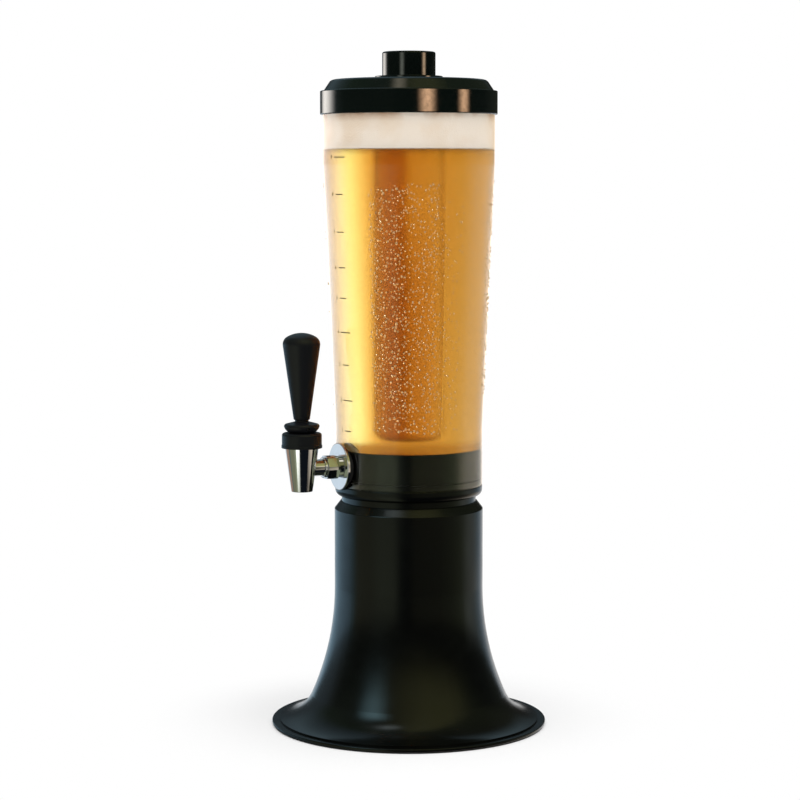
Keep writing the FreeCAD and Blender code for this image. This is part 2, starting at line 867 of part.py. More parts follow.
wall_gasket = new_body("wall_gasket", z=tap_z, turn=ON_SIDE)
turned(
    wall_gasket,
    [
        (s.ShankRadius, cup_inner),
        (s.GasketRadius, cup_inner),
        (s.GasketRadius, gasket_face),
        (s.ShankRadius, gasket_face),
    ],
)
# Its back is hollowed to the tank's outer wall: in the laid-down body that wall runs along local Y.
bored(wall_gasket, "saddle", "XZ_Plane", [(ZERO, ZERO, s.TankFoot)], s.TankFoot, s.TankFoot * 2)

inner_washer = new_body("inner_washer", z=tap_z, turn=ON_SIDE)
turned(
    inner_washer,
    [
        (thread_hole, washer_back),
        (s.WasherRadius, washer_back),
        (s.WasherRadius, land_face),
        (thread_hole, land_face),
    ],
)
soften(inner_washer, s.WasherRound, (s.WasherRadius, washer_back), (s.WasherRadius, land_face))


def hexagon(name, across_flats, length, start):
    """A hexagonal bar along the tap's line, from the distance start outward."""
    bar = primitive(
        "Part::Prism",
        name,
        {"Circumradius": across_flats / root(as_size(3)), "Height": length},
        y=-start,
        z=tap_z,
        turn=ON_SIDE,
    )
    bar.Polygon = HEXAGON_SIDES
    return bar


def round_bar(name, radius, length, start):
    """A round bar along the tap's line, from the distance start outward."""
    sizes = {"Radius": radius, "Height": length}
    return primitive("Part::Cylinder", name, sizes, y=-start, z=tap_z, turn=ON_SIDE)


nut_bar = hexagon("nut_bar", s.NutAcrossFlats, s.NutThickness, nut_back)
nut_bore = round_bar("nut_bore", thread_hole, s.NutThickness, nut_back)
shank_nut = combine("Part::Cut", "shank_nut", nut_bar, nut_bore)

coupling_bar = hexagon("coupling_bar", s.CouplingAcrossFlats, s.CouplingLength, coupling_back)
# The corners of the hexagon are turned down to a round.
turning = round_bar("coupling_turning", s.CouplingTurning, s.CouplingLength, coupling_back)
coupling_blank = combine("Part::Common", "coupling_blank", coupling_bar, turning, keep=False)
coupling_room = s.CouplingLength - s.CouplingEnd
thread_bore = round_bar("coupling_thread", thread_hole, coupling_room, coupling_back)
arm_hole = round_bar("coupling_arm_hole", s.ArmRadius + s.ThreadSlip, s.CouplingLength, coupling_back)
coupling_hollow = combine("Part::Fuse", "coupling_hollow", thread_bore, arm_hole, keep=False)
coupling_nut = combine("Part::Cut", "coupling_nut", coupling_blank, coupling_hollow)

coupling_washer = new_body("coupling_washer", z=tap_z, turn=ON_SIDE)
turned(
    coupling_washer,
    [
        (s.ShankBore, shank_tip),
        (s.ShankRadius, shank_tip),
        (s.ShankRadius, arm_tip),
        (s.ShankBore, arm_tip),
    ],
)

# ---------------------------------------------------------------- tap body, bonnet and valve

spout_z = tap_z - s.SpoutDrop
spout_top = spout_z + s.SpoutLength
seat_z = spout_z + s.SeatHeight
neck_top = spout_top + s.BodyNeckHeight
spring_room_z = spout_z + s.SpringRoomHeight
tap_y = -s.TapReach

tap_body = new_body("tap_body", y=tap_y)
turned(
    tap_body,
    [
        (ZERO, spout_z),
        (s.SpoutTip, spout_z),
        (s.SpoutTop, spout_top),
        (s.BodyNeckRadius, spout_top),
        (s.BodyNeckRadius, neck_top),
        (ZERO, neck_top),
    ],
)


def arm_piece(name, radius, near, length):
    """A round length of the arm, from the distance near off the tank's axis outward."""
    sketch = new_sketch(tap_body, name, "XZ_Plane", near - s.TapReach)
    draw_circle(sketch, ZERO, tap_z, radius)
    raise_sketch(tap_body, sketch, length)


arm_piece("arm", s.ArmRadius, arm_tip, s.TapReach - arm_tip)
arm_piece("arm_flange", s.ShankRadius, arm_tip, s.ArmFlangeThickness)
arm_piece("arm_ring", s.ArmRing, coupling_front + s.ArmRingGap, s.ArmRingWidth)
both_ring_edges = [(s.ArmRing, tap_z)] * 2
soften(tap_body, s.ArmRingRound, *both_ring_edges)
turned(
    tap_body,
    [
        (ZERO, spout_z),
        (s.SpoutBore, spout_z),
        (s.SpoutBore, seat_z - s.SeatRun),
        (s.ChamberRadius, seat_z),
        (s.ChamberRadius, spring_room_z),
        (s.SpringRoomRadius, spring_room_z),
        (s.SpringRoomRadius, neck_top),
        (ZERO, neck_top),
    ],
    name="bore",
    kind="PartDesign::Groove",
)
bored(
    tap_body,
    "arm_bore",
    "XZ_Plane",
    [(ZERO, tap_z, s.ShankBore)],
    arm_tip - s.TapReach,
    s.TapReach - arm_tip,
    outward=True,
)

soften(tap_body, s.SpoutRound, (s.SpoutTip, spout_z))

bonnet_top = spout_top + s.BonnetHeight
bonnet_under = bonnet_top - s.BonnetPlate
bonnet_lip = s.BonnetRadius + s.BonnetLip
stem_hole = s.StemRadius + s.StemSlip

tap_bonnet = new_body("tap_bonnet", y=tap_y)
turned(
    tap_bonnet,
    [
        (s.BodyNeckRadius + s.ThreadSlip, spout_top),
        (bonnet_lip, spout_top),
        (bonnet_lip, spout_top + s.BonnetLipHeight),
        (s.BonnetRadius, spout_top + s.BonnetLipHeight),
        (s.BonnetRadius, bonnet_top),
        (stem_hole, bonnet_top),
        (stem_hole, bonnet_under),
        (s.BodyNeckRadius + s.ThreadSlip, bonnet_under),
    ],
)
soften(tap_bonnet, s.BonnetRound, (s.BonnetRadius, bonnet_top))
soften(tap_bonnet, s.BonnetLipRound, (bonnet_lip, spout_top), (bonnet_lip, spout_top + s.BonnetLipHeight))

# The stem runs from the seat cup up through the bonnet to the lever's pin.
lever_foot = bonnet_top + s.LeverGap
pin_z = lever_foot + s.PinHeight
stem_top = pin_z + s.StemHead
collar_z = spout_z + s.StemCollarHeight
collar_top = collar_z + s.StemCollarThickness
cup_foot = seat_z - s.SeatRun
stem_foot = cup_foot + s.StemTailGap

valve_stem = new_body("valve_stem", y=tap_y)
turned(
    valve_stem,
    [
        (ZERO, stem_foot),
        (s.StemRadius, stem_foot),
        (s.StemRadius, collar_z),
        (s.StemCollarRadius, collar_z),
        (s.StemCollarRadius, collar_top),
        (s.StemRadius, collar_top),
        (s.StemRadius, stem_top),
        (ZERO, stem_top),
    ],
)
eye = new_sketch(valve_stem, "eye", "YZ_Plane", -s.StemCollarRadius)
draw_circle(eye, ZERO, pin_z, s.PinRadius)
cut_sketch(valve_stem, eye, s.StemCollarRadius * 2, outward=True)

# The silicone cup that closes the seat: its cone follows the seat's cone a little inside it.
cup_gap = s.SeatCupGap
seat_cup = new_body("seat_cup", y=tap_y)
turned(
    seat_cup,
    [
        (ZERO, cup_foot),
        (s.SpoutBore - cup_gap, cup_foot),
        (s.SeatCupRim, seat_z - (s.ChamberRadius - s.SeatCupRim) + cup_gap),
        (s.SeatCupRim, seat_z + s.SeatCupRimHeight),
        (s.SeatCupNeck, seat_z + s.SeatCupNeckHeight),
        (s.SeatCupNeck, collar_z),
        (s.StemRadius, collar_z),
        (s.StemRadius, stem_foot),
        (ZERO, stem_foot),
    ],
)

handle_pin = primitive(
    "Part::Cylinder",
    "handle_pin",
    {"Radius": s.PinRadius, "Height": s.PinHalfLength * 2},
    -s.PinHalfLength,
    tap_y,
    pin_z,
    turn=ON_SIDE,
    about=Vector(0, 1, 0),
)
parts.append(handle_pin)

# The spring between the stem's collar and the bonnet's plate, of six-sided wire.
coil_low = collar_top + s.SpringWire + s.SpringEndGap
coil_high = bonnet_under - s.SpringWire - s.SpringEndGap
coil_height = coil_high - coil_low
coil = primitive(
    "Part::Helix",
    "spring_line",
    {"Pitch": coil_height / s.SpringTurns, "Height": coil_height, "Radius": s.SpringRadius},
    ZERO,
    tap_y,
    coil_low,
)
wire = primitive(
    "Part::RegularPolygon",
    "spring_wire",
    {"Circumradius": s.SpringWire},
    s.SpringRadius,
    tap_y,
    coil_low,
    turn=ON_SIDE,
)
wire.Polygon = HEXAGON_SIDES
valve_spring = doc.addObject("Part::Sweep", "valve_spring")
valve_spring.Sections = [wire]
valve_spring.Spine = coil
valve_spring.Solid = True
valve_spring.Frenet = True
parts.append(valve_spring)

# ---------------------------------------------------------------- lever and grip

lever_top = lever_foot + s.LeverNeckHeight
lever_rim_z = lever_foot + s.LeverRimHeight
lever_brow_z = lever_foot + s.LeverThickness - s.LeverEdge
slot_top = pin_z + root(s.StemHead * s.StemHead + s.StemRadius * s.StemRadius) + s.LeverSlotClearance

tap_lever = new_body("tap_lever", y=tap_y)
turned(
    tap_lever,
    [
        (ZERO, lever_foot),
        (s.LeverFoot, lever_foot),
        (s.LeverRim, lever_rim_z, s.LeverBelly, "left"),
        (s.LeverBrow, lever_brow_z, s.LeverEdge, "left"),
        (s.LeverNeck, lever_foot + s.LeverThickness),
        (s.LeverNeck, lever_top),
        (s.StudRadius, lever_top),
        (s.StudRadius, lever_top + s.StudLength),
        (ZERO, lever_top + s.StudLength),
    ],
)
slot = new_sketch(tap_lever, "slot", "XY_Plane", lever_foot)
draw_outline(
    slot,
    [
        (s.LeverSlotWidth, -s.LeverSlotReach),
        (s.LeverSlotWidth, s.LeverSlotReach),
        (-s.LeverSlotWidth, s.LeverSlotReach),
        (-s.LeverSlotWidth, -s.LeverSlotReach),
    ],
)
cut_sketch(tap_lever, slot, slot_top - lever_foot, outward=True)
lever_eye = new_sketch(tap_lever, "eye", "YZ_Plane", -s.LeverRim)
draw_circle(lever_eye, ZERO, pin_z, s.PinRadius + s.PinSlip)
cut_sketch(tap_lever, lever_eye, s.LeverRim * 2, outward=True)

# The grip's side runs straight up to its shoulder's arc, which runs into the arc of its crown.
widest_z = lever_top + s.GripWidest
shoulder_r = s.GripRadius - s.GripShoulder
taper_r = shoulder_r + s.GripShoulder * cosine(s.GripTaperAngle)
taper_z = widest_z - s.GripShoulder * sine(s.GripTaperAngle)
foot_z = lever_top + s.GripFootRound
foot_r = taper_r - (taper_z - foot_z) * sine(s.GripTaperAngle) / cosine(s.GripTaperAngle)
crown_start_r = shoulder_r + s.GripShoulder * cosine(s.GripCrownAngle)
crown_start_z = widest_z + s.GripShoulder * sine(s.GripCrownAngle)
crown_bend = crown_start_r / cosine(s.GripCrownAngle)
crown_centre = crown_start_z - crown_bend * sine(s.GripCrownAngle)
crown_top = crown_centre + root(crown_bend * crown_bend - s.GripGateMark * s.GripGateMark)
stud_end = lever_top + s.StudLength + s.StudGap

tap_handle = new_body("tap_handle", y=tap_y)
turned(
    tap_handle,
    [
        (s.StudRadius, lever_top),
        (foot_r - s.GripFootRound, lever_top),
        (foot_r, foot_z, s.GripFootRound, "left"),
        (taper_r, taper_z),
        (crown_start_r, crown_start_z, s.GripShoulder, "left"),
        (s.GripGateMark, crown_top, crown_bend, "left"),
        (ZERO, crown_top),
        (ZERO, stud_end),
        (s.StudRadius, stud_end),
    ],
)

# ---------------------------------------------------------------- checks and files

doc.recompute()
for item in doc.Objects:
    if "Invalid" in item.State or "Error" in item.State:
        raise RuntimeError(f"{item.Label}: {item.State}")
for part in parts:
    if part.Shape.isNull() or not part.Shape.isValid() or part.Shape.Volume <= 0:
        raise RuntimeError(f"{part.Label}: bad shape")
os.makedirs("parts", exist_ok=True)
for part in parts:
    part.Shape.exportStep(f"parts/{part.Label}.step")
print(len(parts), "sub-parts written")
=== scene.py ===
import math
import random

import bmesh
import bpy
from mathutils import Matrix, Vector


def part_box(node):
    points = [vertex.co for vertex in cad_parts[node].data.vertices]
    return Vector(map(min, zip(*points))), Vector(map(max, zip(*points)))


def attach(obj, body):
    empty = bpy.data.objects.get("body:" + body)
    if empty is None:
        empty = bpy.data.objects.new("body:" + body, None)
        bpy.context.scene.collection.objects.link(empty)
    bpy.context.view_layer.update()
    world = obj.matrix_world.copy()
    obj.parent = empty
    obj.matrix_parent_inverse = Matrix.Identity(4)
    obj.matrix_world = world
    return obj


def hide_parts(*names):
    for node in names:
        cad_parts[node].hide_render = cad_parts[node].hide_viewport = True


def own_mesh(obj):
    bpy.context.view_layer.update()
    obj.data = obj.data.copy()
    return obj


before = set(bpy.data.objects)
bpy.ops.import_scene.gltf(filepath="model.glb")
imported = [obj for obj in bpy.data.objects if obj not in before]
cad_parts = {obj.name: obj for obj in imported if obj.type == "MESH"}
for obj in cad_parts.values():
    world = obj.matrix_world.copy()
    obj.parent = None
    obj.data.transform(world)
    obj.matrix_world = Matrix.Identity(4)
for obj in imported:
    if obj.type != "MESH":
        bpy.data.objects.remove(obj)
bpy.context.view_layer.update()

# ---------------------------------------------------------------- bell-shaped base
# One hollow moulding in black ABS from a polished mould: a straight column that flares into a bell and
# ends in a thin flat lip. It stands on the table, and the hub is screwed down onto its deck.


def to_linear(text):
    """The linear colour of an sRGB hex value, with an alpha of 1."""
    channels = [int(text[place : place + 2], 16) / 255 for place in (0, 2, 4)]
    return [c / 12.92 if c <= 0.04045 else ((c + 0.055) / 1.055) ** 2.4 for c in channels] + [1.0]


def blank_material(name):
    """A material whose node tree is empty, and that tree."""
    material = bpy.data.materials.new(name)
    material.use_nodes = True
    material.node_tree.nodes.clear()
    return material, material.node_tree


def add_node(tree, kind, inputs=None, **settings):
    """Add a node, set its settings, and set or link its inputs."""
    node = tree.nodes.new(kind)
    for key, value in settings.items():
        setattr(node, key, value)
    for socket, value in (inputs or {}).items():
        if isinstance(value, bpy.types.NodeSocket):
            tree.links.new(value, node.inputs[socket])
        else:
            node.inputs[socket].default_value = value
    return node


def dress(material, *nodes):
    """Put a material on every slot of these CAD nodes."""
    for node in nodes:
        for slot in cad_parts[node].material_slots:
            slot.material = material


# Black ABS with a moulded gloss: almost black, a clear but slightly soft reflection, a long waviness where
# the wall cooled unevenly, and patches that wiping has dulled a little.
SINK_WAVE_MM = 45
WIPED_PATCH_MM = 22
base_abs, tree = blank_material("moulded_black_abs")
place = add_node(tree, "ShaderNodeTexCoord").outputs["Object"]
sink = add_node(tree, "ShaderNodeTexNoise", {"Vector": place, "Scale": 1000 / SINK_WAVE_MM, "Detail": 1.0})
wiped = add_node(tree, "ShaderNodeTexNoise", {"Vector": place, "Scale": 1000 / WIPED_PATCH_MM, "Detail": 4.0})
gloss = add_node(
    tree,
    "ShaderNodeMapRange",
    {"Value": wiped.outputs["Fac"], "From Min": 0.3, "From Max": 0.7, "To Min": 0.17, "To Max": 0.25},
)
tint = add_node(
    tree,
    "ShaderNodeMix",
    {0: wiped.outputs["Fac"], 6: to_linear("020202"), 7: to_linear("040504")},
    data_type="RGBA",
)
waves = add_node(tree, "ShaderNodeBump", {"Height": sink.outputs["Fac"], "Strength": 1.0, "Distance": 0.00006})
skin = add_node(
    tree,
    "ShaderNodeBsdfPrincipled",
    {
        "Base Color": tint.outputs[2],
        "Roughness": gloss.outputs["Result"],
        "IOR": 1.53,
        "Normal": waves.outputs["Normal"],
    },
)
add_node(tree, "ShaderNodeOutputMaterial", {"Surface": skin.outputs["BSDF"]})
dress(base_abs, "horn_base")

# Ribs stiffen the deck from below, and their corners reach a little way through the solid's chamfered
# shoulder. Shown, they are drawn back flush with the chamfer, as the moulding has it.
SHOULDER_FOOT = (0.0650, 0.1909)  # radius, height
SHOULDER_TOP = (0.0598, 0.1975)
flush = bpy.data.node_groups.new("flush_shoulder", "GeometryNodeTree")
flush.interface.new_socket("Geometry", in_out="INPUT", socket_type="NodeSocketGeometry")
flush.interface.new_socket("Geometry", in_out="OUTPUT", socket_type="NodeSocketGeometry")
moulding = add_node(flush, "NodeGroupInput").outputs["Geometry"]
place = add_node(flush, "GeometryNodeInputPosition").outputs["Position"]
height = add_node(flush, "ShaderNodeSeparateXYZ", {"Vector": place}).outputs["Z"]
level = add_node(
    flush, "ShaderNodeVectorMath", {0: place, 1: (1.0, 1.0, 0.0)}, operation="MULTIPLY"
).outputs["Vector"]
reach = add_node(flush, "ShaderNodeVectorMath", {0: level}, operation="LENGTH").outputs["Value"]
chamfer = add_node(
    flush,
    "ShaderNodeMapRange",
    {
        "Value": height,
        "From Min": SHOULDER_FOOT[1],
        "From Max": SHOULDER_TOP[1],
        "To Min": SHOULDER_FOOT[0],
        "To Max": SHOULDER_TOP[0],
    },
)
inward = add_node(flush, "ShaderNodeMath", {0: chamfer.outputs["Result"], 1: reach}, operation="DIVIDE")
drawn = add_node(
    flush, "ShaderNodeCombineXYZ", {"X": inward.outputs["Value"], "Y": inward.outputs["Value"], "Z": 1.0}
)
flushed = add_node(
    flush, "ShaderNodeVectorMath", {0: place, 1: drawn.outputs["Vector"]}, operation="MULTIPLY"
).outputs["Vector"]
proud = add_node(
    flush, "ShaderNodeMath", {0: inward.outputs["Value"], 1: 1.0}, operation="LESS_THAN"
).outputs["Value"]
high = add_node(
    flush, "ShaderNodeMath", {0: height, 1: SHOULDER_FOOT[1]}, operation="GREATER_THAN"
).outputs["Value"]
chosen = add_node(flush, "ShaderNodeMath", {0: proud, 1: high}, operation="MULTIPLY").outputs["Value"]
moved = add_node(
    flush, "GeometryNodeSetPosition", {"Geometry": moulding, "Selection": chosen, "Position": flushed}
)
add_node(flush, "NodeGroupOutput", {"Geometry": moved.outputs["Geometry"]})
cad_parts["horn_base"].modifiers.new("flush_shoulder", "NODES").node_group = flush

# ---------------------------------------------------------------- rubber foot ring
# A flat ring of black rubber under the lip keeps the base from sliding and the table from being marked.
# It is pressed into a step under the rim and held by its own grip.

# Moulded rubber: matt, very dark grey, with a fine dusty grain.
RUBBER_GRAIN_MM = 1.2
rubber, tree = blank_material("matt_black_rubber")
place = add_node(tree, "ShaderNodeTexCoord").outputs["Object"]
grain = add_node(tree, "ShaderNodeTexNoise", {"Vector": place, "Scale": 1000 / RUBBER_GRAIN_MM, "Detail": 3.0})
tint = add_node(
    tree,
    "ShaderNodeMix",
    {0: grain.outputs["Fac"], 6: to_linear("101010"), 7: to_linear("1c1b1a")},
    data_type="RGBA",
)
bump = add_node(tree, "ShaderNodeBump", {"Height": grain.outputs["Fac"], "Strength": 0.4, "Distance": 0.0001})
skin = add_node(
    tree,
    "ShaderNodeBsdfPrincipled",
    {"Base Color": tint.outputs[2], "Roughness": 0.82, "IOR": 1.5, "Normal": bump.outputs["Normal"]},
)
add_node(tree, "ShaderNodeOutputMaterial", {"Surface": skin.outputs["BSDF"]})
dress(rubber, "foot_ring", "wall_gasket")

# ---------------------------------------------------------------- hub
# The hub is black ABS like the base: a necked floor with a welded cup that goes up inside the tank's foot.
# Four stainless screws hold it to the deck of the base, and a rubber ring seals the tank round it.
dress(base_abs, "hub", "hub_cup")

# Turned and rolled stainless steel: grey, bright but not a mirror, with fine tool marks.
TOOL_MARK_MM = 0.8
stainless, tree = blank_material("turned_stainless_steel")
place = add_node(tree, "ShaderNodeTexCoord").outputs["Object"]
marks = add_node(tree, "ShaderNodeTexNoise", {"Vector": place, "Scale": 1000 / TOOL_MARK_MM, "Detail": 2.0})
gloss = add_node(
    tree,
    "ShaderNodeMapRange",
    {"Value": marks.outputs["Fac"], "From Min": 0.3, "From Max": 0.7, "To Min": 0.22, "To Max": 0.36},
)
tint = add_node(
    tree,
    "ShaderNodeMix",
    {0: marks.outputs["Fac"], 6: to_linear("c2c1bd"), 7: to_linear("d6d5d1")},
    data_type="RGBA",
)
bump = add_node(tree, "ShaderNodeBump", {"Height": marks.outputs["Fac"], "Strength": 0.25, "Distance": 0.00002})
skin = add_node(
    tree,
    "ShaderNodeBsdfPrincipled",
    {
        "Base Color": tint.outputs[2],
        "Metallic": 1.0,
        "Roughness": gloss.outputs["Result"],
        "Normal": bump.outputs["Normal"],
    },
)
add_node(tree, "ShaderNodeOutputMaterial", {"Surface": skin.outputs["BSDF"]})
dress(stainless, "hub_screws")
dress(rubber, "hub_seal")

# ---------------------------------------------------------------- tank
# The tank is a clear SAN tube with a 3 mm wall, moulded with a slight taper, open at both ends. Its foot
# sits on the hub's shoulder. A scale of short lines and plain numbers is pad printed on its outside.
FOOT_COLLAR = 0.050
MOUTH_COLLAR = 0.055
TANK_WALL = 0.003
tank_bottom, tank_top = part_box("tank")
cone_foot = (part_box("hub")[1].x, tank_bottom.z + FOOT_COLLAR)  # radius, height
cone_top = (tank_top.x, tank_top.z - MOUTH_COLLAR)


def tank_radius(height):
    """The radius of the tank's outside at a height."""
    share = (height - cone_foot[1]) / (cone_top[1] - cone_foot[1])
    return cone_foot[0] + (cone_top[0] - cone_foot[0]) * min(1.0, max(0.0, share))


# Polished SAN: water clear with a trace of green, sharp reflections, and flow marks from the moulding.
FLOW_MARK_MM = 60
clear_san, tree = blank_material("polished_clear_san")
place = add_node(tree, "ShaderNodeTexCoord").outputs["Object"]
along = add_node(tree, "ShaderNodeMapping", {"Vector": place, "Scale": (1.0, 1.0, 0.25)})
flow = add_node(
    tree, "ShaderNodeTexNoise", {"Vector": along.outputs["Vector"], "Scale": 1000 / FLOW_MARK_MM, "Detail": 1.0}
)
bump = add_node(tree, "ShaderNodeBump", {"Height": flow.outputs["Fac"], "Strength": 1.0, "Distance": 0.00003})
skin = add_node(
    tree,
    "ShaderNodeBsdfPrincipled",
    {
        "Base Color": to_linear("fbfdfb"),
        "Roughness": 0.0,
        "IOR": 1.57,
        "Transmission Weight": 1.0,
        "Normal": bump.outputs["Normal"],
    },
)
add_node(tree, "ShaderNodeOutputMaterial", {"Surface": skin.outputs["BSDF"]})
dress(clear_san, "tank")

# Pad-printing ink: dark brown, matt, thin at the edges of each stroke.
INK_MOTTLE_MM = 1.5
ink, tree = blank_material("pad_printed_ink")
place = add_node(tree, "ShaderNodeTexCoord").outputs["Object"]
mottle = add_node(tree, "ShaderNodeTexNoise", {"Vector": place, "Scale": 1000 / INK_MOTTLE_MM, "Detail": 2.0})
tint = add_node(
    tree,
    "ShaderNodeMix",
    {0: mottle.outputs["Fac"], 6: to_linear("3a2c18"), 7: to_linear("6b5430")},
    data_type="RGBA",
)
skin = add_node(tree, "ShaderNodeBsdfPrincipled", {"Base Color": tint.outputs[2], "Roughness": 0.6, "IOR": 1.5})
add_node(tree, "ShaderNodeOutputMaterial", {"Surface": skin.outputs["BSDF"]})

# Each line has its height, and whether it is a long one. Lines run between two angles, in degrees about the
# tank's axis, and each line's number stands at the start of it.
SCALE_LINES = (
    (0.2620, False),
    (0.2886, True),
    (0.3191, False),
    (0.3471, True),
    (0.3764, False),
    (0.4025, False),
    (0.4327, False),
    (0.4647, False),
    (0.4962, True),
)
LONG_LINE = (-84.6, -73.3)
SHORT_LINE = (-84.0, -76.3)
DIGIT_ANGLE = -88.6
DIGIT_HEIGHT = 0.0034
DIGIT_SHARE = 0.7  # of the font's size
LINE_WIDTH = 0.0009
INK_LIFT = 0.00002
INK_THICKNESS = 0.00008
LINE_STEPS = 10
scale = bmesh.new()
for number, (height, long_line) in enumerate(SCALE_LINES, start=1):
    start, end = LONG_LINE if long_line else SHORT_LINE
    radius = tank_radius(height) + INK_LIFT
    half = LINE_WIDTH / 2
    corners = [
        scale.verts.new((radius + out, 0, height + up))
        for out, up in ((0, -half), (INK_THICKNESS, -half), (INK_THICKNESS, half), (0, half))
    ]
    face = scale.faces.new(corners)
    bmesh.ops.rotate(scale, verts=corners, cent=(0, 0, 0), matrix=Matrix.Rotation(math.radians(start), 3, "Z"))
    line_angle = math.radians(end - start)
    bmesh.ops.spin(scale, geom=[face], cent=(0, 0, 0), axis=(0, 0, 1), angle=line_angle, steps=LINE_STEPS)
    letter = bpy.data.curves.new("digit", "FONT")
    letter.body = str(number)
    letter.size = DIGIT_HEIGHT / DIGIT_SHARE
    letter.align_x = "CENTER"
    letter.align_y = "CENTER"
    letter.extrude = INK_THICKNESS / 2
    letter.resolution_u = 3
    letter_object = bpy.data.objects.new("digit", letter)
    outline = bpy.data.meshes.new_from_object(letter_object)
    before = len(scale.verts)
    scale.from_mesh(outline)
    scale.verts.ensure_lookup_table()
    for vert in scale.verts[before:]:
        reach = radius + INK_THICKNESS / 2 + vert.co.z
        turn = math.radians(DIGIT_ANGLE) + vert.co.x / radius
        vert.co = (reach * math.cos(turn), reach * math.sin(turn), height + vert.co.y)
    bpy.data.objects.remove(letter_object)
    bpy.data.curves.remove(letter)
    bpy.data.meshes.remove(outline)
bmesh.ops.remove_doubles(scale, verts=scale.verts[:], dist=1e-6)
bmesh.ops.recalc_face_normals(scale, faces=scale.faces[:])


def new_piece(name, shape, material, body, smooth_angle=None):
    """Make an object of a finished shape, with its material and the body it rides on."""
    mesh = bpy.data.meshes.new(name)
    shape.to_mesh(mesh)
    shape.free()
    mesh.materials.append(material)
    if smooth_angle is not None:
        mesh.shade_smooth()
        mesh.set_sharp_from_angle(angle=math.radians(smooth_angle))
    piece = bpy.data.objects.new(name, mesh)
    bpy.context.scene.collection.objects.link(piece)
    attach(piece, body)
    return piece


new_piece("scale_print", scale, ink, "tower")

# ---------------------------------------------------------------- tap line
# The tap's threaded shank goes through the tank wall and the hub's cup. A rubber gasket and escutcheon seal
# it outside, a silicone washer and a steel nut inside, and a six-sided coupling nut draws the tap onto it.

# Bright chrome plate on polished brass: a cool mirror, softened in places by water spots and fingers.
SPOT_MM = 5
chrome, tree = blank_material("bright_chrome_plate")
place = add_node(tree, "ShaderNodeTexCoord").outputs["Object"]
spots = add_node(tree, "ShaderNodeTexNoise", {"Vector": place, "Scale": 1000 / SPOT_MM, "Detail": 4.0})
gloss = add_node(
    tree,
    "ShaderNodeMapRange",
    {"Value": spots.outputs["Fac"], "From Min": 0.4, "From Max": 0.75, "To Min": 0.05, "To Max": 0.14},
)
tint = add_node(
    tree,
    "ShaderNodeMix",
    {0: spots.outputs["Fac"], 6: to_linear("e9eaea"), 7: to_linear("dcdcda")},
    data_type="RGBA",
)
skin = add_node(
    tree,
    "ShaderNodeBsdfPrincipled",
    {"Base Color": tint.outputs[2], "Metallic": 1.0, "Roughness": gloss.outputs["Result"]},
)
add_node(tree, "ShaderNodeOutputMaterial", {"Surface": skin.outputs["BSDF"]})
dress(chrome, "tap_shank", "coupling_nut", "tap_body")
dress(stainless, "shank_nut", "valve_stem", "handle_pin")

# Moulded silicone: milky beige, soft sheen, light passes a little way in, faint cloudiness.
CLOUD_MM = 6
silicone, tree = blank_material("moulded_beige_silicone")
place = add_node(tree, "ShaderNodeTexCoord").outputs["Object"]
cloud = add_node(tree, "ShaderNodeTexNoise", {"Vector": place, "Scale": 1000 / CLOUD_MM, "Detail": 3.0})
tint = add_node(
    tree,
    "ShaderNodeMix",
    {0: cloud.outputs["Fac"], 6: to_linear("cbb58f"), 7: to_linear("dccaa9")},
    data_type="RGBA",
)
bump = add_node(tree, "ShaderNodeBump", {"Height": cloud.outputs["Fac"], "Strength": 0.2, "Distance": 0.0001})
skin = add_node(
    tree,
    "ShaderNodeBsdfPrincipled",
    {
        "Base Color": tint.outputs[2],
        "Roughness": 0.45,
        "IOR": 1.41,
        "Subsurface Weight": 0.25,
        "Subsurface Radius": (0.004, 0.003, 0.002),
        "Subsurface Scale": 0.5,
        "Normal": bump.outputs["Normal"],
    },
)
add_node(tree, "ShaderNodeOutputMaterial", {"Surface": skin.outputs["BSDF"]})
dress(silicone, "inner_washer", "coupling_washer", "seat_cup")

# ---------------------------------------------------------------- tap bonnet, lever and grip
# The bonnet is screwed onto the tap's body and holds the stem. The lever turns on a steel pin across the
# stem, and the tapered grip is screwed onto the lever.

# Glass-filled nylon from a spark-eroded mould: satin black with a fine even grain, drawn a little coarse.
GRAIN_MM = 0.7
satin_nylon, tree = blank_material("satin_black_nylon")
place = add_node(tree, "ShaderNodeTexCoord").outputs["Object"]
grain = add_node(tree, "ShaderNodeTexNoise", {"Vector": place, "Scale": 1000 / GRAIN_MM, "Detail": 2.0})
gloss = add_node(
    tree,
    "ShaderNodeMapRange",
    {"Value": grain.outputs["Fac"], "From Min": 0.3, "From Max": 0.7, "To Min": 0.34, "To Max": 0.46},
)
tint = add_node(
    tree,
    "ShaderNodeMix",
    {0: grain.outputs["Fac"], 6: to_linear("08090b"), 7: to_linear("0e0f12")},
    data_type="RGBA",
)
bump = add_node(tree, "ShaderNodeBump", {"Height": grain.outputs["Fac"], "Strength": 0.3, "Distance": 0.00003})
skin = add_node(
    tree,
    "ShaderNodeBsdfPrincipled",
    {
        "Base Color": tint.outputs[2],
        "Roughness": gloss.outputs["Result"],
        "IOR": 1.53,
        "Normal": bump.outputs["Normal"],
    },
)
add_node(tree, "ShaderNodeOutputMaterial", {"Surface": skin.outputs["BSDF"]})
dress(satin_nylon, "tap_bonnet", "tap_lever", "tap_handle")

# The return spring is coiled round the stem inside the bonnet. Its foot rises with the stem and its head stays
# against the bonnet; here it is a copy of the coil that rides with the tower.
return_spring = bpy.data.objects.new("return_spring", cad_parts["valve_spring"].data.copy())
bpy.context.scene.collection.objects.link(return_spring)
for material_slot in return_spring.material_slots:
    material_slot.material = stainless
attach(return_spring, "tower")
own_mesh(return_spring)
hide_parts("valve_spring")

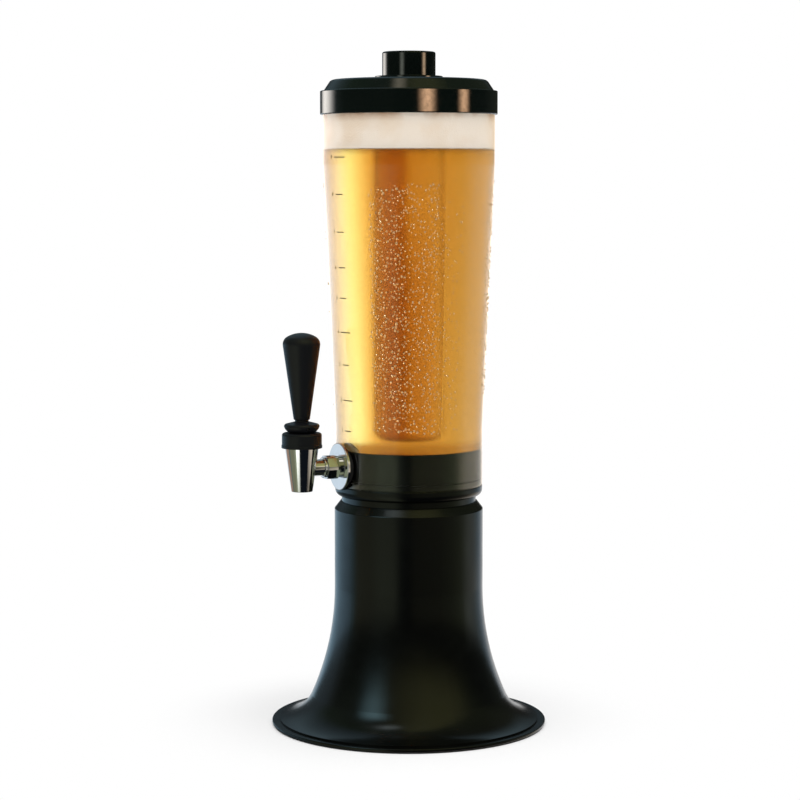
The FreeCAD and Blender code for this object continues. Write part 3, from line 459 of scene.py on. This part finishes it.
# ---------------------------------------------------------------- beer and its head
# The tank is filled with clear golden beer to just under the lid, with a head of foam on top. Both wet the
# wall, so each reaches a little way into it here: no air shows between the drink and the plastic.
WETTING = 0.0004
BEER_TOP = 0.5036
FILM_FOOT = 0.2130  # a film of beer stands between the hub's cup and the wall
FILM_INSIDE = 0.0605
CUP_GAP = 0.0002
cup_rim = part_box("hub_cup")[1].z + CUP_GAP
beer_foot_radius = cone_foot[0] - TANK_WALL + WETTING
beer_top_radius = cone_top[0] - TANK_WALL + WETTING


def turn_section(corners):
    """Turn a closed half section, given as (radius, height) corners, about Z."""
    shape = bmesh.new()
    points = [shape.verts.new((radius, 0, height)) for radius, height in corners]
    for point, following in zip(points, points[1:] + points[:1]):
        shape.edges.new((point, following))
    bmesh.ops.spin(
        shape,
        geom=shape.verts[:] + shape.edges[:],
        cent=(0, 0, 0),
        axis=(0, 0, 1),
        angle=math.tau,
        steps=160,
        use_merge=True,
    )
    bmesh.ops.remove_doubles(shape, verts=shape.verts[:], dist=1e-7)
    bmesh.ops.dissolve_degenerate(shape, dist=1e-7, edges=shape.edges[:])
    bmesh.ops.recalc_face_normals(shape, faces=shape.faces[:])
    return shape


# Filtered lager: clear, golden in a thin layer and amber in a thick one, because it takes up blue light most.
lager, tree = blank_material("filtered_lager")
skin = add_node(
    tree,
    "ShaderNodeBsdfPrincipled",
    {"Roughness": 0.25, "IOR": 1.34, "Transmission Weight": 1.0, "Base Color": to_linear("ffffff")},
)
depth = add_node(tree, "ShaderNodeVolumeAbsorption", {"Color": to_linear("f1d772"), "Density": 36.0})
add_node(tree, "ShaderNodeOutputMaterial", {"Surface": skin.outputs["BSDF"], "Volume": depth.outputs["Volume"]})

# The drink fills the cone above the hub's cup, and its film goes down past the cup's rim.
beer = turn_section(
    (
        (0.0, cup_rim),
        (FILM_INSIDE, cup_rim),
        (FILM_INSIDE, FILM_FOOT),
        (beer_foot_radius, FILM_FOOT),
        (beer_foot_radius, cone_foot[1]),
        (beer_top_radius, cone_top[1]),
        (beer_top_radius, BEER_TOP),
        (0.0, BEER_TOP),
    )
)
new_piece("beer", beer, lager, "tower", smooth_angle=20)

# Beer foam: cream white and matt, packed with fine bubbles, warmer in patches, and darker and browner in
# patches just under its top.
FOAM_BUBBLE_MM = 1.3
FOAM_PATCH_MM = 26
LID_PLUG_DROP = 0.0100
FOAM_GAP = 0.0005
TOP_DARKENING_DEPTH = 0.0085
foam_top = tank_top.z - LID_PLUG_DROP - FOAM_GAP
head_foam, tree = blank_material("cream_beer_foam")
place = add_node(tree, "ShaderNodeTexCoord").outputs["Object"]
bubbles = add_node(tree, "ShaderNodeTexVoronoi", {"Vector": place, "Scale": 1000 / FOAM_BUBBLE_MM})
patches = add_node(tree, "ShaderNodeTexNoise", {"Vector": place, "Scale": 1000 / FOAM_PATCH_MM, "Detail": 3.0})
patch_share = add_node(
    tree, "ShaderNodeMapRange", {"Value": patches.outputs["Fac"], "From Min": 0.4, "From Max": 0.65}
)
warm = add_node(
    tree,
    "ShaderNodeMix",
    {0: patch_share.outputs["Result"], 6: to_linear("faeee0"), 7: to_linear("f4e3cf")},
    data_type="RGBA",
)
height = add_node(tree, "ShaderNodeSeparateXYZ", {"Vector": place})
# Within a few millimetres of the top, the warm patches turn a darker brown.
near_top = add_node(
    tree,
    "ShaderNodeMapRange",
    {"Value": height.outputs["Z"], "From Min": foam_top - TOP_DARKENING_DEPTH, "From Max": foam_top},
)
darker_near_top = add_node(
    tree,
    "ShaderNodeMath",
    {0: near_top.outputs["Result"], 1: patch_share.outputs["Result"]},
    operation="MULTIPLY",
)
darkened_top = add_node(
    tree,
    "ShaderNodeMix",
    {0: darker_near_top.outputs["Value"], 6: warm.outputs[2], 7: to_linear("c79f7c")},
    data_type="RGBA",
)
bump = add_node(
    tree, "ShaderNodeBump", {"Height": bubbles.outputs["Distance"], "Strength": 0.4, "Distance": 0.0004}
)
skin = add_node(
    tree,
    "ShaderNodeBsdfPrincipled",
    {"Base Color": darkened_top.outputs[2], "Roughness": 0.7, "IOR": 1.33, "Normal": bump.outputs["Normal"]},
)
add_node(tree, "ShaderNodeOutputMaterial", {"Surface": skin.outputs["BSDF"]})

# The head sinks a little way into the drink, and keeps a round hole where the ice tube passes.
TUBE_RADIUS = 0.0225
TUBE_GAP = 0.0001
FOAM_SINK = 0.0006
foam = turn_section(
    (
        (TUBE_RADIUS + TUBE_GAP, BEER_TOP - FOAM_SINK),
        (beer_top_radius, BEER_TOP - FOAM_SINK),
        (beer_top_radius, foam_top),
        (TUBE_RADIUS + TUBE_GAP, foam_top),
    )
)
new_piece("beer_head", foam, head_foam, "tower", smooth_angle=30)

# ---------------------------------------------------------------- condensation
# Cold beer makes the outside of the tank sweat. The drops are flat beads of water, thickest where the ice
# tube chills the beer on the near side, and some of them have run together into larger ones.
DROP_FIELDS = (
    # first angle, last angle, lowest, highest, how many, largest radius
    (-54.0, -34.0, 0.264, 0.470, 640, 0.00125),
    (-36.0, -6.0, 0.262, 0.474, 820, 0.00105),
    (-8.0, 14.0, 0.262, 0.460, 160, 0.00085),
    (40.0, 62.0, 0.290, 0.470, 240, 0.00100),
    (62.0, 250.0, 0.280, 0.480, 240, 0.00100),
)
SMALLEST_DROP = 0.00055
DROP_FLATNESS = 0.55
DROP_GAP = 0.0004
DROP_STRETCH = (0.9, 1.35)
SMALL_DROP_LEAN = 1.7  # above 1, most drops are small

# Water: each bead is a small lens, and looks paler than the beer behind it for the mist on its skin.
water, tree = blank_material("misted_water")
skin = add_node(
    tree,
    "ShaderNodeBsdfPrincipled",
    {"Roughness": 0.06, "IOR": 1.33, "Transmission Weight": 0.83, "Base Color": to_linear("fff2cf")},
)
add_node(tree, "ShaderNodeOutputMaterial", {"Surface": skin.outputs["BSDF"]})

rng = random.Random(7)
drops = bmesh.new()
bead_mesh = bpy.data.meshes.new("bead")
placed = []
for first, last, lowest, highest, count, largest in DROP_FIELDS:
    for _ in range(count):
        angle = math.radians(rng.uniform(first, last))
        height = rng.uniform(lowest, highest)
        size = SMALLEST_DROP + (largest - SMALLEST_DROP) * rng.random() ** SMALL_DROP_LEAN
        radius = tank_radius(height)
        if any(
            math.hypot((angle - other_angle) * radius, height - other_height) < size + other_size + DROP_GAP
            for other_angle, other_height, other_size in placed
        ):
            continue
        placed.append((angle, height, size))
        spot = Matrix.Translation((radius * math.cos(angle), radius * math.sin(angle), height))
        facing = Matrix.Rotation(angle, 4, "Z")
        flat = Matrix.Diagonal((DROP_FLATNESS, 1.0, rng.uniform(*DROP_STRETCH), 1.0))
        bead = bmesh.new()
        bmesh.ops.create_uvsphere(bead, u_segments=8, v_segments=5, radius=size, matrix=spot @ facing @ flat)
        bead.to_mesh(bead_mesh)
        bead.free()
        drops.from_mesh(bead_mesh)
bpy.data.meshes.remove(bead_mesh)
beads = new_piece("condensation", drops, water, "tower", smooth_angle=80)

# ---------------------------------------------------------------- ice tube
# A smoke-tinted SAN tube with a round end hangs from the lid's guide down into the beer and holds ice, so
# that the ice doesn't water the beer. It stands in the beer, so its edges bend light only a little.

# Smoked SAN wetted by beer: bronze brown, with painted shade: darker towards one side across the tube and pale
# on the other, and higher up the pale side widens.
PALE_SIDE_DIRECTION = (0.44, 0.90, 0.0)
PALER_UP_FROM = 0.36
PALER_UP_TO = 0.48
SMOKE_AND_SHADE = (
    (0.00, "f0e0c8"),
    (0.22, "e0c3a6"),
    (0.42, "dcbfa2"),
    (0.55, "efddc6"),
    (0.70, "f3e5d4"),
    (0.88, "faf2e8"),
    (1.00, "ffffff"),
)
PALE_SMOKE_AND_SHADE = ((0.00, "f0e0c8"), (0.22, "e6ccaa"), (0.40, "e6cdb0"), (0.52, "fbf6ee"), (1.00, "ffffff"))
smoke_and_shade_san, tree = blank_material("smoke_tint_and_painted_shade_san")
place = add_node(tree, "ShaderNodeTexCoord").outputs["Object"]
# Painted shade: along this fixed direction the tube's colour runs from dark to pale.
across = add_node(tree, "ShaderNodeVectorMath", {0: place, 1: PALE_SIDE_DIRECTION}, operation="DOT_PRODUCT")
side = add_node(
    tree,
    "ShaderNodeMapRange",
    {"Value": across.outputs["Value"], "From Min": -TUBE_RADIUS, "From Max": TUBE_RADIUS},
)


def colour_ramp(tree, position, stops):
    """Add a ramp through (position, sRGB hex) stops."""
    node = add_node(tree, "ShaderNodeValToRGB", {"Fac": position})
    elements = node.color_ramp.elements
    while len(elements) < len(stops):
        elements.new(0.5)
    for element, (stop, colour) in zip(elements, stops):
        element.position = stop
        element.color = to_linear(colour)
    return node.outputs["Color"]


axes = add_node(tree, "ShaderNodeSeparateXYZ", {"Vector": place})
# Painted shade: higher up, the colour shifts to a ramp whose pale side is wider.
paler_up = add_node(
    tree,
    "ShaderNodeMapRange",
    {"Value": axes.outputs["Z"], "From Min": PALER_UP_FROM, "From Max": PALER_UP_TO},
    interpolation_type="SMOOTHSTEP",
)
smoke_and_shade = colour_ramp(tree, side.outputs["Result"], SMOKE_AND_SHADE)
pale_smoke_and_shade = colour_ramp(tree, side.outputs["Result"], PALE_SMOKE_AND_SHADE)
tint = add_node(tree, "ShaderNodeMix", {0: paler_up.outputs["Result"], 6: smoke_and_shade, 7: pale_smoke_and_shade}, data_type="RGBA")
skin = add_node(
    tree,
    "ShaderNodeBsdfPrincipled",
    {"Base Color": tint.outputs[2], "Roughness": 0.2, "IOR": 1.08, "Transmission Weight": 1.0},
)
add_node(tree, "ShaderNodeOutputMaterial", {"Surface": skin.outputs["BSDF"]})
dress(smoke_and_shade_san, "ice_tube")
dress(silicone, "ice_gasket")

# ---------------------------------------------------------------- lid and stopper
# The lid is a black ABS cap with a deep polished ring, pressed onto the tank with a silicone gasket. The
# ice tube's stopper is a knob of the same plastic with its own seal.

# Polished black ABS: deeper gloss than the base, a faint green cast, and fine scuffs from handling.
SCUFF_MM = 3.0
lid_abs, tree = blank_material("polished_black_abs")
place = add_node(tree, "ShaderNodeTexCoord").outputs["Object"]
scuffs = add_node(tree, "ShaderNodeTexNoise", {"Vector": place, "Scale": 1000 / SCUFF_MM, "Detail": 4.0})
gloss = add_node(
    tree,
    "ShaderNodeMapRange",
    {"Value": scuffs.outputs["Fac"], "From Min": 0.35, "From Max": 0.75, "To Min": 0.07, "To Max": 0.15},
)
tint = add_node(
    tree,
    "ShaderNodeMix",
    {0: scuffs.outputs["Fac"], 6: to_linear("050a08"), 7: to_linear("080d0b")},
    data_type="RGBA",
)
bump = add_node(tree, "ShaderNodeBump", {"Height": scuffs.outputs["Fac"], "Strength": 0.5, "Distance": 0.00001})
skin = add_node(
    tree,
    "ShaderNodeBsdfPrincipled",
    {
        "Base Color": tint.outputs[2],
        "Roughness": gloss.outputs["Result"],
        "IOR": 1.53,
        "Normal": bump.outputs["Normal"],
    },
)
add_node(tree, "ShaderNodeOutputMaterial", {"Surface": skin.outputs["BSDF"]})
dress(lid_abs, "lid", "ice_cap")
dress(silicone, "lid_gasket", "cap_seal")

# ---------------------------------------------------------------- studio
# A white table and a white surround, lit softly from above. Polished parts see a darker room with a cool
# window side to the left and warm lamps, and the beer is lit through from behind.
CAMERA_AZIMUTH = 64.0
CAMERA_PITCH = 5.37
CAMERA_DISTANCE = 2.045
AIM_HEIGHT = 0.2855
SIDE_STEP = -0.00765
LENS_MM = 105.3

azimuth = math.radians(CAMERA_AZIMUTH)
towards_camera = Vector((math.sin(azimuth), -math.cos(azimuth), 0))
to_the_right = Vector((-towards_camera.y, towards_camera.x, 0))
aim = Vector((0, 0, AIM_HEIGHT)) + to_the_right * SIDE_STEP
pitch = math.radians(CAMERA_PITCH)
camera_data = bpy.data.cameras.new("camera")
camera_data.sensor_width = 36
camera_data.lens = LENS_MM
camera = bpy.data.objects.new("camera", camera_data)
sight_line = towards_camera * math.cos(pitch) + Vector((0, 0, math.sin(pitch)))
camera.location = aim + sight_line * CAMERA_DISTANCE
camera.rotation_euler = (aim - camera.location).to_track_quat("-Z", "Y").to_euler()
bpy.context.scene.collection.objects.link(camera)
bpy.context.scene.camera = camera

# The table: white laminate that takes the object's soft shadow and glows to white a short way off, so that
# no edge shows between the table and the surround.
SHADOW_REACH = 0.125
WHITE_FROM = 0.25
TABLE_HALF_WIDTH = 6.0
white_top, tree = blank_material("white_table_laminate")
place = add_node(tree, "ShaderNodeTexCoord").outputs["Object"]
distance = add_node(tree, "ShaderNodeVectorMath", {0: place}, operation="LENGTH")
away = add_node(
    tree,
    "ShaderNodeMapRange",
    {"Value": distance.outputs["Value"], "From Min": SHADOW_REACH, "From Max": WHITE_FROM},
    interpolation_type="SMOOTHSTEP",
)
surface = add_node(tree, "ShaderNodeBsdfDiffuse", {"Color": (0.55, 0.55, 0.55, 1.0)})
glow = add_node(tree, "ShaderNodeEmission", {"Color": (1.0, 1.0, 1.0, 1.0), "Strength": 0.24})
both = add_node(tree, "ShaderNodeAddShader", {0: surface.outputs["BSDF"], 1: glow.outputs["Emission"]})
white = add_node(tree, "ShaderNodeEmission", {"Color": (1.0, 1.0, 1.0, 1.0), "Strength": 1.0})
laminate = add_node(
    tree,
    "ShaderNodeMixShader",
    {0: away.outputs["Result"], 1: both.outputs["Shader"], 2: white.outputs["Emission"]},
)
add_node(tree, "ShaderNodeOutputMaterial", {"Surface": laminate.outputs["Shader"]})
top = bmesh.new()
bmesh.ops.create_grid(top, x_segments=1, y_segments=1, size=TABLE_HALF_WIDTH)
table_mesh = bpy.data.meshes.new("table_top")
top.to_mesh(table_mesh)
top.free()
table_mesh.materials.append(white_top)
table = bpy.data.objects.new("table_top", table_mesh)
bpy.context.scene.collection.objects.link(table)
table.visible_glossy = False
table.visible_transmission = False

# The surround that polished surfaces mirror, from behind the object at -180 degrees, past its left at -90
# and the camera at 0, to its right at 90. Each band has the sines of elevation between which it fades in.
ROOM_BANDS = (
    (  # below the table's edge
        (-1.0, -0.99),
        (
            (-180, "c0c8cc"), (-150, "586870"), (-106, "485458"), (-97, "5c6c6c"), (-88, "7a7c66"),
            (-60, "7a7c66"), (-47, "949c83"), (-23, "949c83"), (-13, "262a26"), (-4, "10141a"),
            (60, "10141a"), (89, "4c4a40"), (106, "7c766a"), (118, "b8ac98"), (132, "f4ead8"),
            (150, "ffffff"), (180, "ffffff"),
        ),
    ),
    (  # the far wall, low down
        (-0.215, -0.185),
        (
            (-180, "ffffff"), (-150, "b4dcf5"), (-106, "b4dcf5"), (-97, "8ab0ba"), (-88, "7a7c66"),
            (-60, "7a7c66"), (-47, "838a74"), (-23, "838a74"), (-13, "3a403a"), (0, "1c201c"),
            (8, "50503e"), (50, "5c5c48"), (74, "6c7258"), (89, "7c8468"), (104, "b0b8ac"),
            (118, "949e9c"), (134, "8aa0ac"), (146, "b4c4d0"), (164, "ffffff"), (180, "ffffff"),
        ),
    ),
    (  # the dark room at eye level
        (-0.045, 0.01),
        (
            (-180, "2c3236"), (-150, "505c62"), (-118, "6c7c84"), (-104, "4c5450"), (-94, "2e3630"),
            (-40, "2a302a"), (0, "141814"), (60, "101410"), (110, "1c201c"), (135, "34382f"),
            (165, "2c2c28"), (180, "2c3236"),
        ),
    ),
    (  # high up
        (0.22, 0.42),
        (
            (-180, "88a2ae"), (-140, "6c8088"), (-114, "485a48"), (-60, "4c5448"), (-20, "70704c"),
            (20, "a0a068"), (60, "a0a068"), (85, "50583c"), (150, "3c4034"), (180, "88a2ae"),
        ),
    ),
)
world = bpy.data.worlds.new("studio")
bpy.context.scene.world = world
world.use_nodes = True
tree = world.node_tree
tree.nodes.clear()
direction = add_node(tree, "ShaderNodeTexCoord").outputs["Generated"]
turned = add_node(
    tree, "ShaderNodeMapping", {"Vector": direction, "Rotation": (0, 0, math.radians(90) - azimuth)}
)
axes = add_node(tree, "ShaderNodeSeparateXYZ", {"Vector": turned.outputs["Vector"]})
round_about = add_node(
    tree, "ShaderNodeMath", {0: axes.outputs["Y"], 1: axes.outputs["X"]}, operation="ARCTAN2"
)
share = add_node(
    tree,
    "ShaderNodeMapRange",
    {"Value": round_about.outputs["Value"], "From Min": -math.pi, "From Max": math.pi},
)
room = None
for (fade_start, fade_end), stops in ROOM_BANDS:
    band = colour_ramp(
        tree, share.outputs["Result"], [((degrees + 180) / 360, colour) for degrees, colour in stops]
    )
    if room is None:
        room = band
        continue
    fade = add_node(
        tree, "ShaderNodeMapRange", {"Value": axes.outputs["Z"], "From Min": fade_start, "From Max": fade_end}
    )
    room = add_node(
        tree, "ShaderNodeMix", {0: fade.outputs["Result"], 6: room, 7: band}, data_type="RGBA"
    ).outputs[2]

# The light that comes through the beer: even, with one bright upright panel behind it to the right, which is
# blue because the beer takes most of the blue out. Rays that leave upwards see it brighter, and those that
# leave steeply downwards dimmer.
BACK_PANEL = (
    # degrees, red, green, blue
    (-180, 1.46, 1.46, 1.46),
    (-170, 1.46, 1.46, 1.46),
    (-160, 1.34, 1.34, 1.34),
    (-148, 1.20, 1.15, 1.00),
    (-132, 1.50, 1.35, 1.10),
    (125, 1.10, 1.00, 1.00),
    (136, 1.50, 1.60, 2.20),
    (144, 2.00, 2.70, 6.00),
    (152, 2.60, 4.40, 11.0),
    (158, 2.70, 5.00, 12.0),
    (163.5, 2.50, 3.20, 5.50),
    (167.5, 1.90, 1.95, 2.00),
    (172, 1.50, 1.50, 1.50),
    (180, 1.46, 1.46, 1.46),
)
PANEL_PEAK = 12.0
through = add_node(tree, "ShaderNodeValToRGB", {"Fac": share.outputs["Result"]})
ramp = through.color_ramp
while len(ramp.elements) < len(BACK_PANEL):
    ramp.elements.new(0.5)
for element, (degrees, *level) in zip(ramp.elements, BACK_PANEL):
    element.position = (degrees + 180) / 360
    element.color = [channel / PANEL_PEAK for channel in level] + [1.0]
turned_away = add_node(tree, "ShaderNodeMath", {0: round_about.outputs["Value"]}, operation="ABSOLUTE")
behind = add_node(
    tree,
    "ShaderNodeMapRange",
    {"Value": turned_away.outputs["Value"], "From Min": math.radians(80), "From Max": math.radians(100)},
)
above = add_node(
    tree,
    "ShaderNodeMapRange",
    {"Value": axes.outputs["Z"], "From Min": 0.20, "From Max": 0.60, "To Min": 0.0, "To Max": 2.2},
)
below = add_node(
    tree,
    "ShaderNodeMapRange",
    {"Value": axes.outputs["Z"], "From Min": -0.65, "From Max": -0.30, "To Min": 0.55, "To Max": 1.0},
)
upward = add_node(
    tree, "ShaderNodeMath", {0: above.outputs["Result"], 1: below.outputs["Result"]}, operation="ADD"
)
panel_level = add_node(
    tree, "ShaderNodeMath", {0: upward.outputs["Value"], 1: PANEL_PEAK}, operation="MULTIPLY"
)
back_light = add_node(
    tree, "ShaderNodeBackground", {"Color": through.outputs["Color"], "Strength": panel_level.outputs["Value"]}
)
front_light = add_node(tree, "ShaderNodeBackground", {"Color": (1.0, 1.0, 1.0, 1.0), "Strength": 1.3})
rim_light = add_node(tree, "ShaderNodeBackground", {"Color": to_linear("ffeed4"), "Strength": 1.1})
mirrored = add_node(tree, "ShaderNodeBackground", {"Color": room, "Strength": 1.0})

# Each kind of ray gets its own part of the surround. Light that reaches the foam through the wall is even.
# Rays that have crossed the whole tank, through more faces than its near wall has, see the lit side behind it,
# and those that its wall turns back see the room.
NEAR_WALL_FACES = 5.0
path = add_node(tree, "ShaderNodeLightPath")
even = add_node(tree, "ShaderNodeBackground", {"Color": (1.0, 1.0, 1.0, 1.0), "Strength": 0.8})
enclosed = add_node(tree, "ShaderNodeBackground", {"Color": (1.0, 1.0, 1.02, 1.0), "Strength": 1.8})
seen = add_node(tree, "ShaderNodeBackground", {"Color": (1.0, 1.0, 1.0, 1.0), "Strength": 1.0})
in_foam = add_node(
    tree,
    "ShaderNodeMath",
    {0: path.outputs["Diffuse Depth"], 1: path.outputs["Transmission Depth"]},
    operation="MINIMUM",
)
bounced = add_node(
    tree,
    "ShaderNodeMixShader",
    {0: path.outputs["Is Glossy Ray"], 1: even.outputs["Background"], 2: mirrored.outputs["Background"]},
)
deep = add_node(
    tree,
    "ShaderNodeMath",
    {0: path.outputs["Transmission Depth"], 1: NEAR_WALL_FACES},
    operation="GREATER_THAN",
)
straight = add_node(tree, "ShaderNodeMath", {0: path.outputs["Glossy Depth"], 1: 0.5}, operation="LESS_THAN")
crossed = add_node(
    tree, "ShaderNodeMath", {0: deep.outputs["Value"], 1: straight.outputs["Value"]}, operation="MULTIPLY"
)
forwards = add_node(
    tree,
    "ShaderNodeMixShader",
    {0: crossed.outputs["Value"], 1: mirrored.outputs["Background"], 2: front_light.outputs["Background"]},
)
backwards = add_node(
    tree,
    "ShaderNodeMixShader",
    {0: crossed.outputs["Value"], 1: rim_light.outputs["Background"], 2: back_light.outputs["Background"]},
)
passed = add_node(
    tree,
    "ShaderNodeMixShader",
    {0: behind.outputs["Result"], 1: forwards.outputs["Shader"], 2: backwards.outputs["Shader"]},
)
refracted = add_node(
    tree,
    "ShaderNodeMixShader",
    {0: path.outputs["Is Transmission Ray"], 1: bounced.outputs["Shader"], 2: passed.outputs["Shader"]},
)
scattered = add_node(
    tree,
    "ShaderNodeMixShader",
    {0: in_foam.outputs["Value"], 1: refracted.outputs["Shader"], 2: enclosed.outputs["Background"]},
)
surround = add_node(
    tree,
    "ShaderNodeMixShader",
    {0: path.outputs["Is Camera Ray"], 1: scattered.outputs["Shader"], 2: seen.outputs["Background"]},
)
add_node(tree, "ShaderNodeOutputWorld", {"Surface": surround.outputs["Shader"]})

# Lamps: a wide soft one overhead lights everything. The others are cards and lamps with soft edges, flagged
# off from the rest, so that only the polished pieces named with each mirror it.
LID = ("lid",)
STOPPER = ("ice_cap",)
TANK = ("tank",)
BASE = ("horn_base", "hub", "hub_cup")
TAP = ("tap_shank", "coupling_nut", "tap_body")
BEADS = ("condensation",)
LAMPS = (
    # name, degrees from the camera, distance, height, height it aims at, width, tall,
    # share of each side that is soft, radiance, colour, pieces that mirror it
    ("overhead", 20, 0.5, 2.4, 0.25, 2.2, 2.2, 0.0, 2.7, "ffffff", ()),
    ("lid_panel", -130, 1.3, 0.60, 0.60, 1.20, 0.40, 0.45, 3.8, "fff8f0", LID + STOPPER),
    ("lid_top_card", -24, 0.45, 1.65, 0.56, 0.40, 0.34, 0.5, 1.8, "f0e4cc", LID),
    ("lid_lamp_near", 23, 1.2, 0.585, 0.585, 0.60, 0.14, 0.5, 13.0, "ffcb9e", LID),
    ("lid_lamp_side", 73, 1.2, 0.585, 0.585, 0.46, 0.14, 0.5, 10.5, "ffcb9e", LID),
    ("knob_lamp_near", -30, 1.2, 0.63, 0.63, 0.60, 0.20, 0.5, 2.0, "e8f0e0", STOPPER),
    ("knob_lamp_side", 68, 1.2, 0.63, 0.63, 0.52, 0.20, 0.5, 7.0, "ffd9b1", STOPPER),
    ("tank_window_left", -145, 0.8, 0.40, 0.40, 2.60, 1.2, 0.5, 1.5, "fff0e6", TANK),
    ("tank_window_right", 152, 0.8, 0.40, 0.40, 2.40, 1.2, 0.5, 0.7, "ffe0b8", TANK),
    ("base_window", -46, 1.06, 0.78, 0.04, 0.95, 0.90, 0.5, 1.9, "bcf0ff", BASE),
    ("shoulder_card", -42, 0.45, 1.15, 0.20, 0.60, 0.36, 0.5, 1.5, "e0f0f4", BASE),
    ("tap_front_card", -30, 1.2, 0.30, 0.30, 0.60, 1.2, 0.1, 1.1, "ffffff", TAP),
    ("tap_right_card", 66, 1.2, 0.30, 0.30, 0.90, 1.2, 0.1, 0.55, "fff0dc", TAP),
    ("tap_left_card", -128, 1.2, 0.30, 0.30, 1.40, 1.2, 0.1, 0.22, "ffc090", TAP),
    ("tap_top_card", -40, 0.2, 1.40, 0.25, 1.30, 1.3, 0.1, 0.85, "fff8ee", TAP),
    ("bead_lamp", -38, 1.0, 1.00, 0.36, 0.60, 0.60, 0.3, 40.0, "fff4e0", BEADS),
)
receivers = dict(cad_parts, condensation=beads)
for name, degrees, distance, height, aim_height, width, tall, soft, radiance, colour, mirrored_by in LAMPS:
    lamp_data = bpy.data.lights.new(name, "AREA")
    lamp_data.shape = "RECTANGLE"
    lamp_data.size = width
    lamp_data.size_y = tall
    lamp_data.energy = radiance * 4 * width * tall
    lamp_data.color = to_linear(colour)[:3]
    if soft:
        lamp_data.use_nodes = True
        tree = lamp_data.node_tree
        tree.nodes.clear()
        across_card = add_node(tree, "ShaderNodeNewGeometry").outputs["Parametric"]
        card_axes = add_node(tree, "ShaderNodeSeparateXYZ", {"Vector": across_card})
        fades = []
        for axis in ("X", "Y"):
            from_edge = add_node(
                tree, "ShaderNodeMath", {0: card_axes.outputs[axis], 1: 0.5}, operation="PINGPONG"
            )
            fade = add_node(
                tree,
                "ShaderNodeMapRange",
                {"Value": from_edge.outputs["Value"], "From Min": 0.0, "From Max": soft},
                interpolation_type="SMOOTHSTEP",
            )
            fades.append(fade.outputs["Result"])
        level = add_node(tree, "ShaderNodeMath", {0: fades[0], 1: fades[1]}, operation="MULTIPLY")
        shine = add_node(tree, "ShaderNodeEmission", {"Strength": level.outputs["Value"]})
        add_node(tree, "ShaderNodeOutputLight", {"Surface": shine.outputs["Emission"]})
    lamp = bpy.data.objects.new(name, lamp_data)
    bearing = math.radians(degrees)
    lamp.location = (towards_camera * math.cos(bearing) + to_the_right * math.sin(bearing)) * distance
    lamp.location.z = height
    lamp.rotation_euler = (Vector((0, 0, aim_height)) - lamp.location).to_track_quat("-Z", "Y").to_euler()
    lamp.visible_glossy = bool(mirrored_by)
    lamp.visible_diffuse = not mirrored_by
    lamp.visible_transmission = False
    lamp.visible_camera = False
    bpy.context.scene.collection.objects.link(lamp)
    if mirrored_by:
        lit_pieces = bpy.data.collections.new(name + "_lit")
        for piece in mirrored_by:
            lit_pieces.objects.link(receivers[piece])
        lamp.light_linking.receiver_collection = lit_pieces

bpy.context.scene.view_settings.view_transform = "Standard"
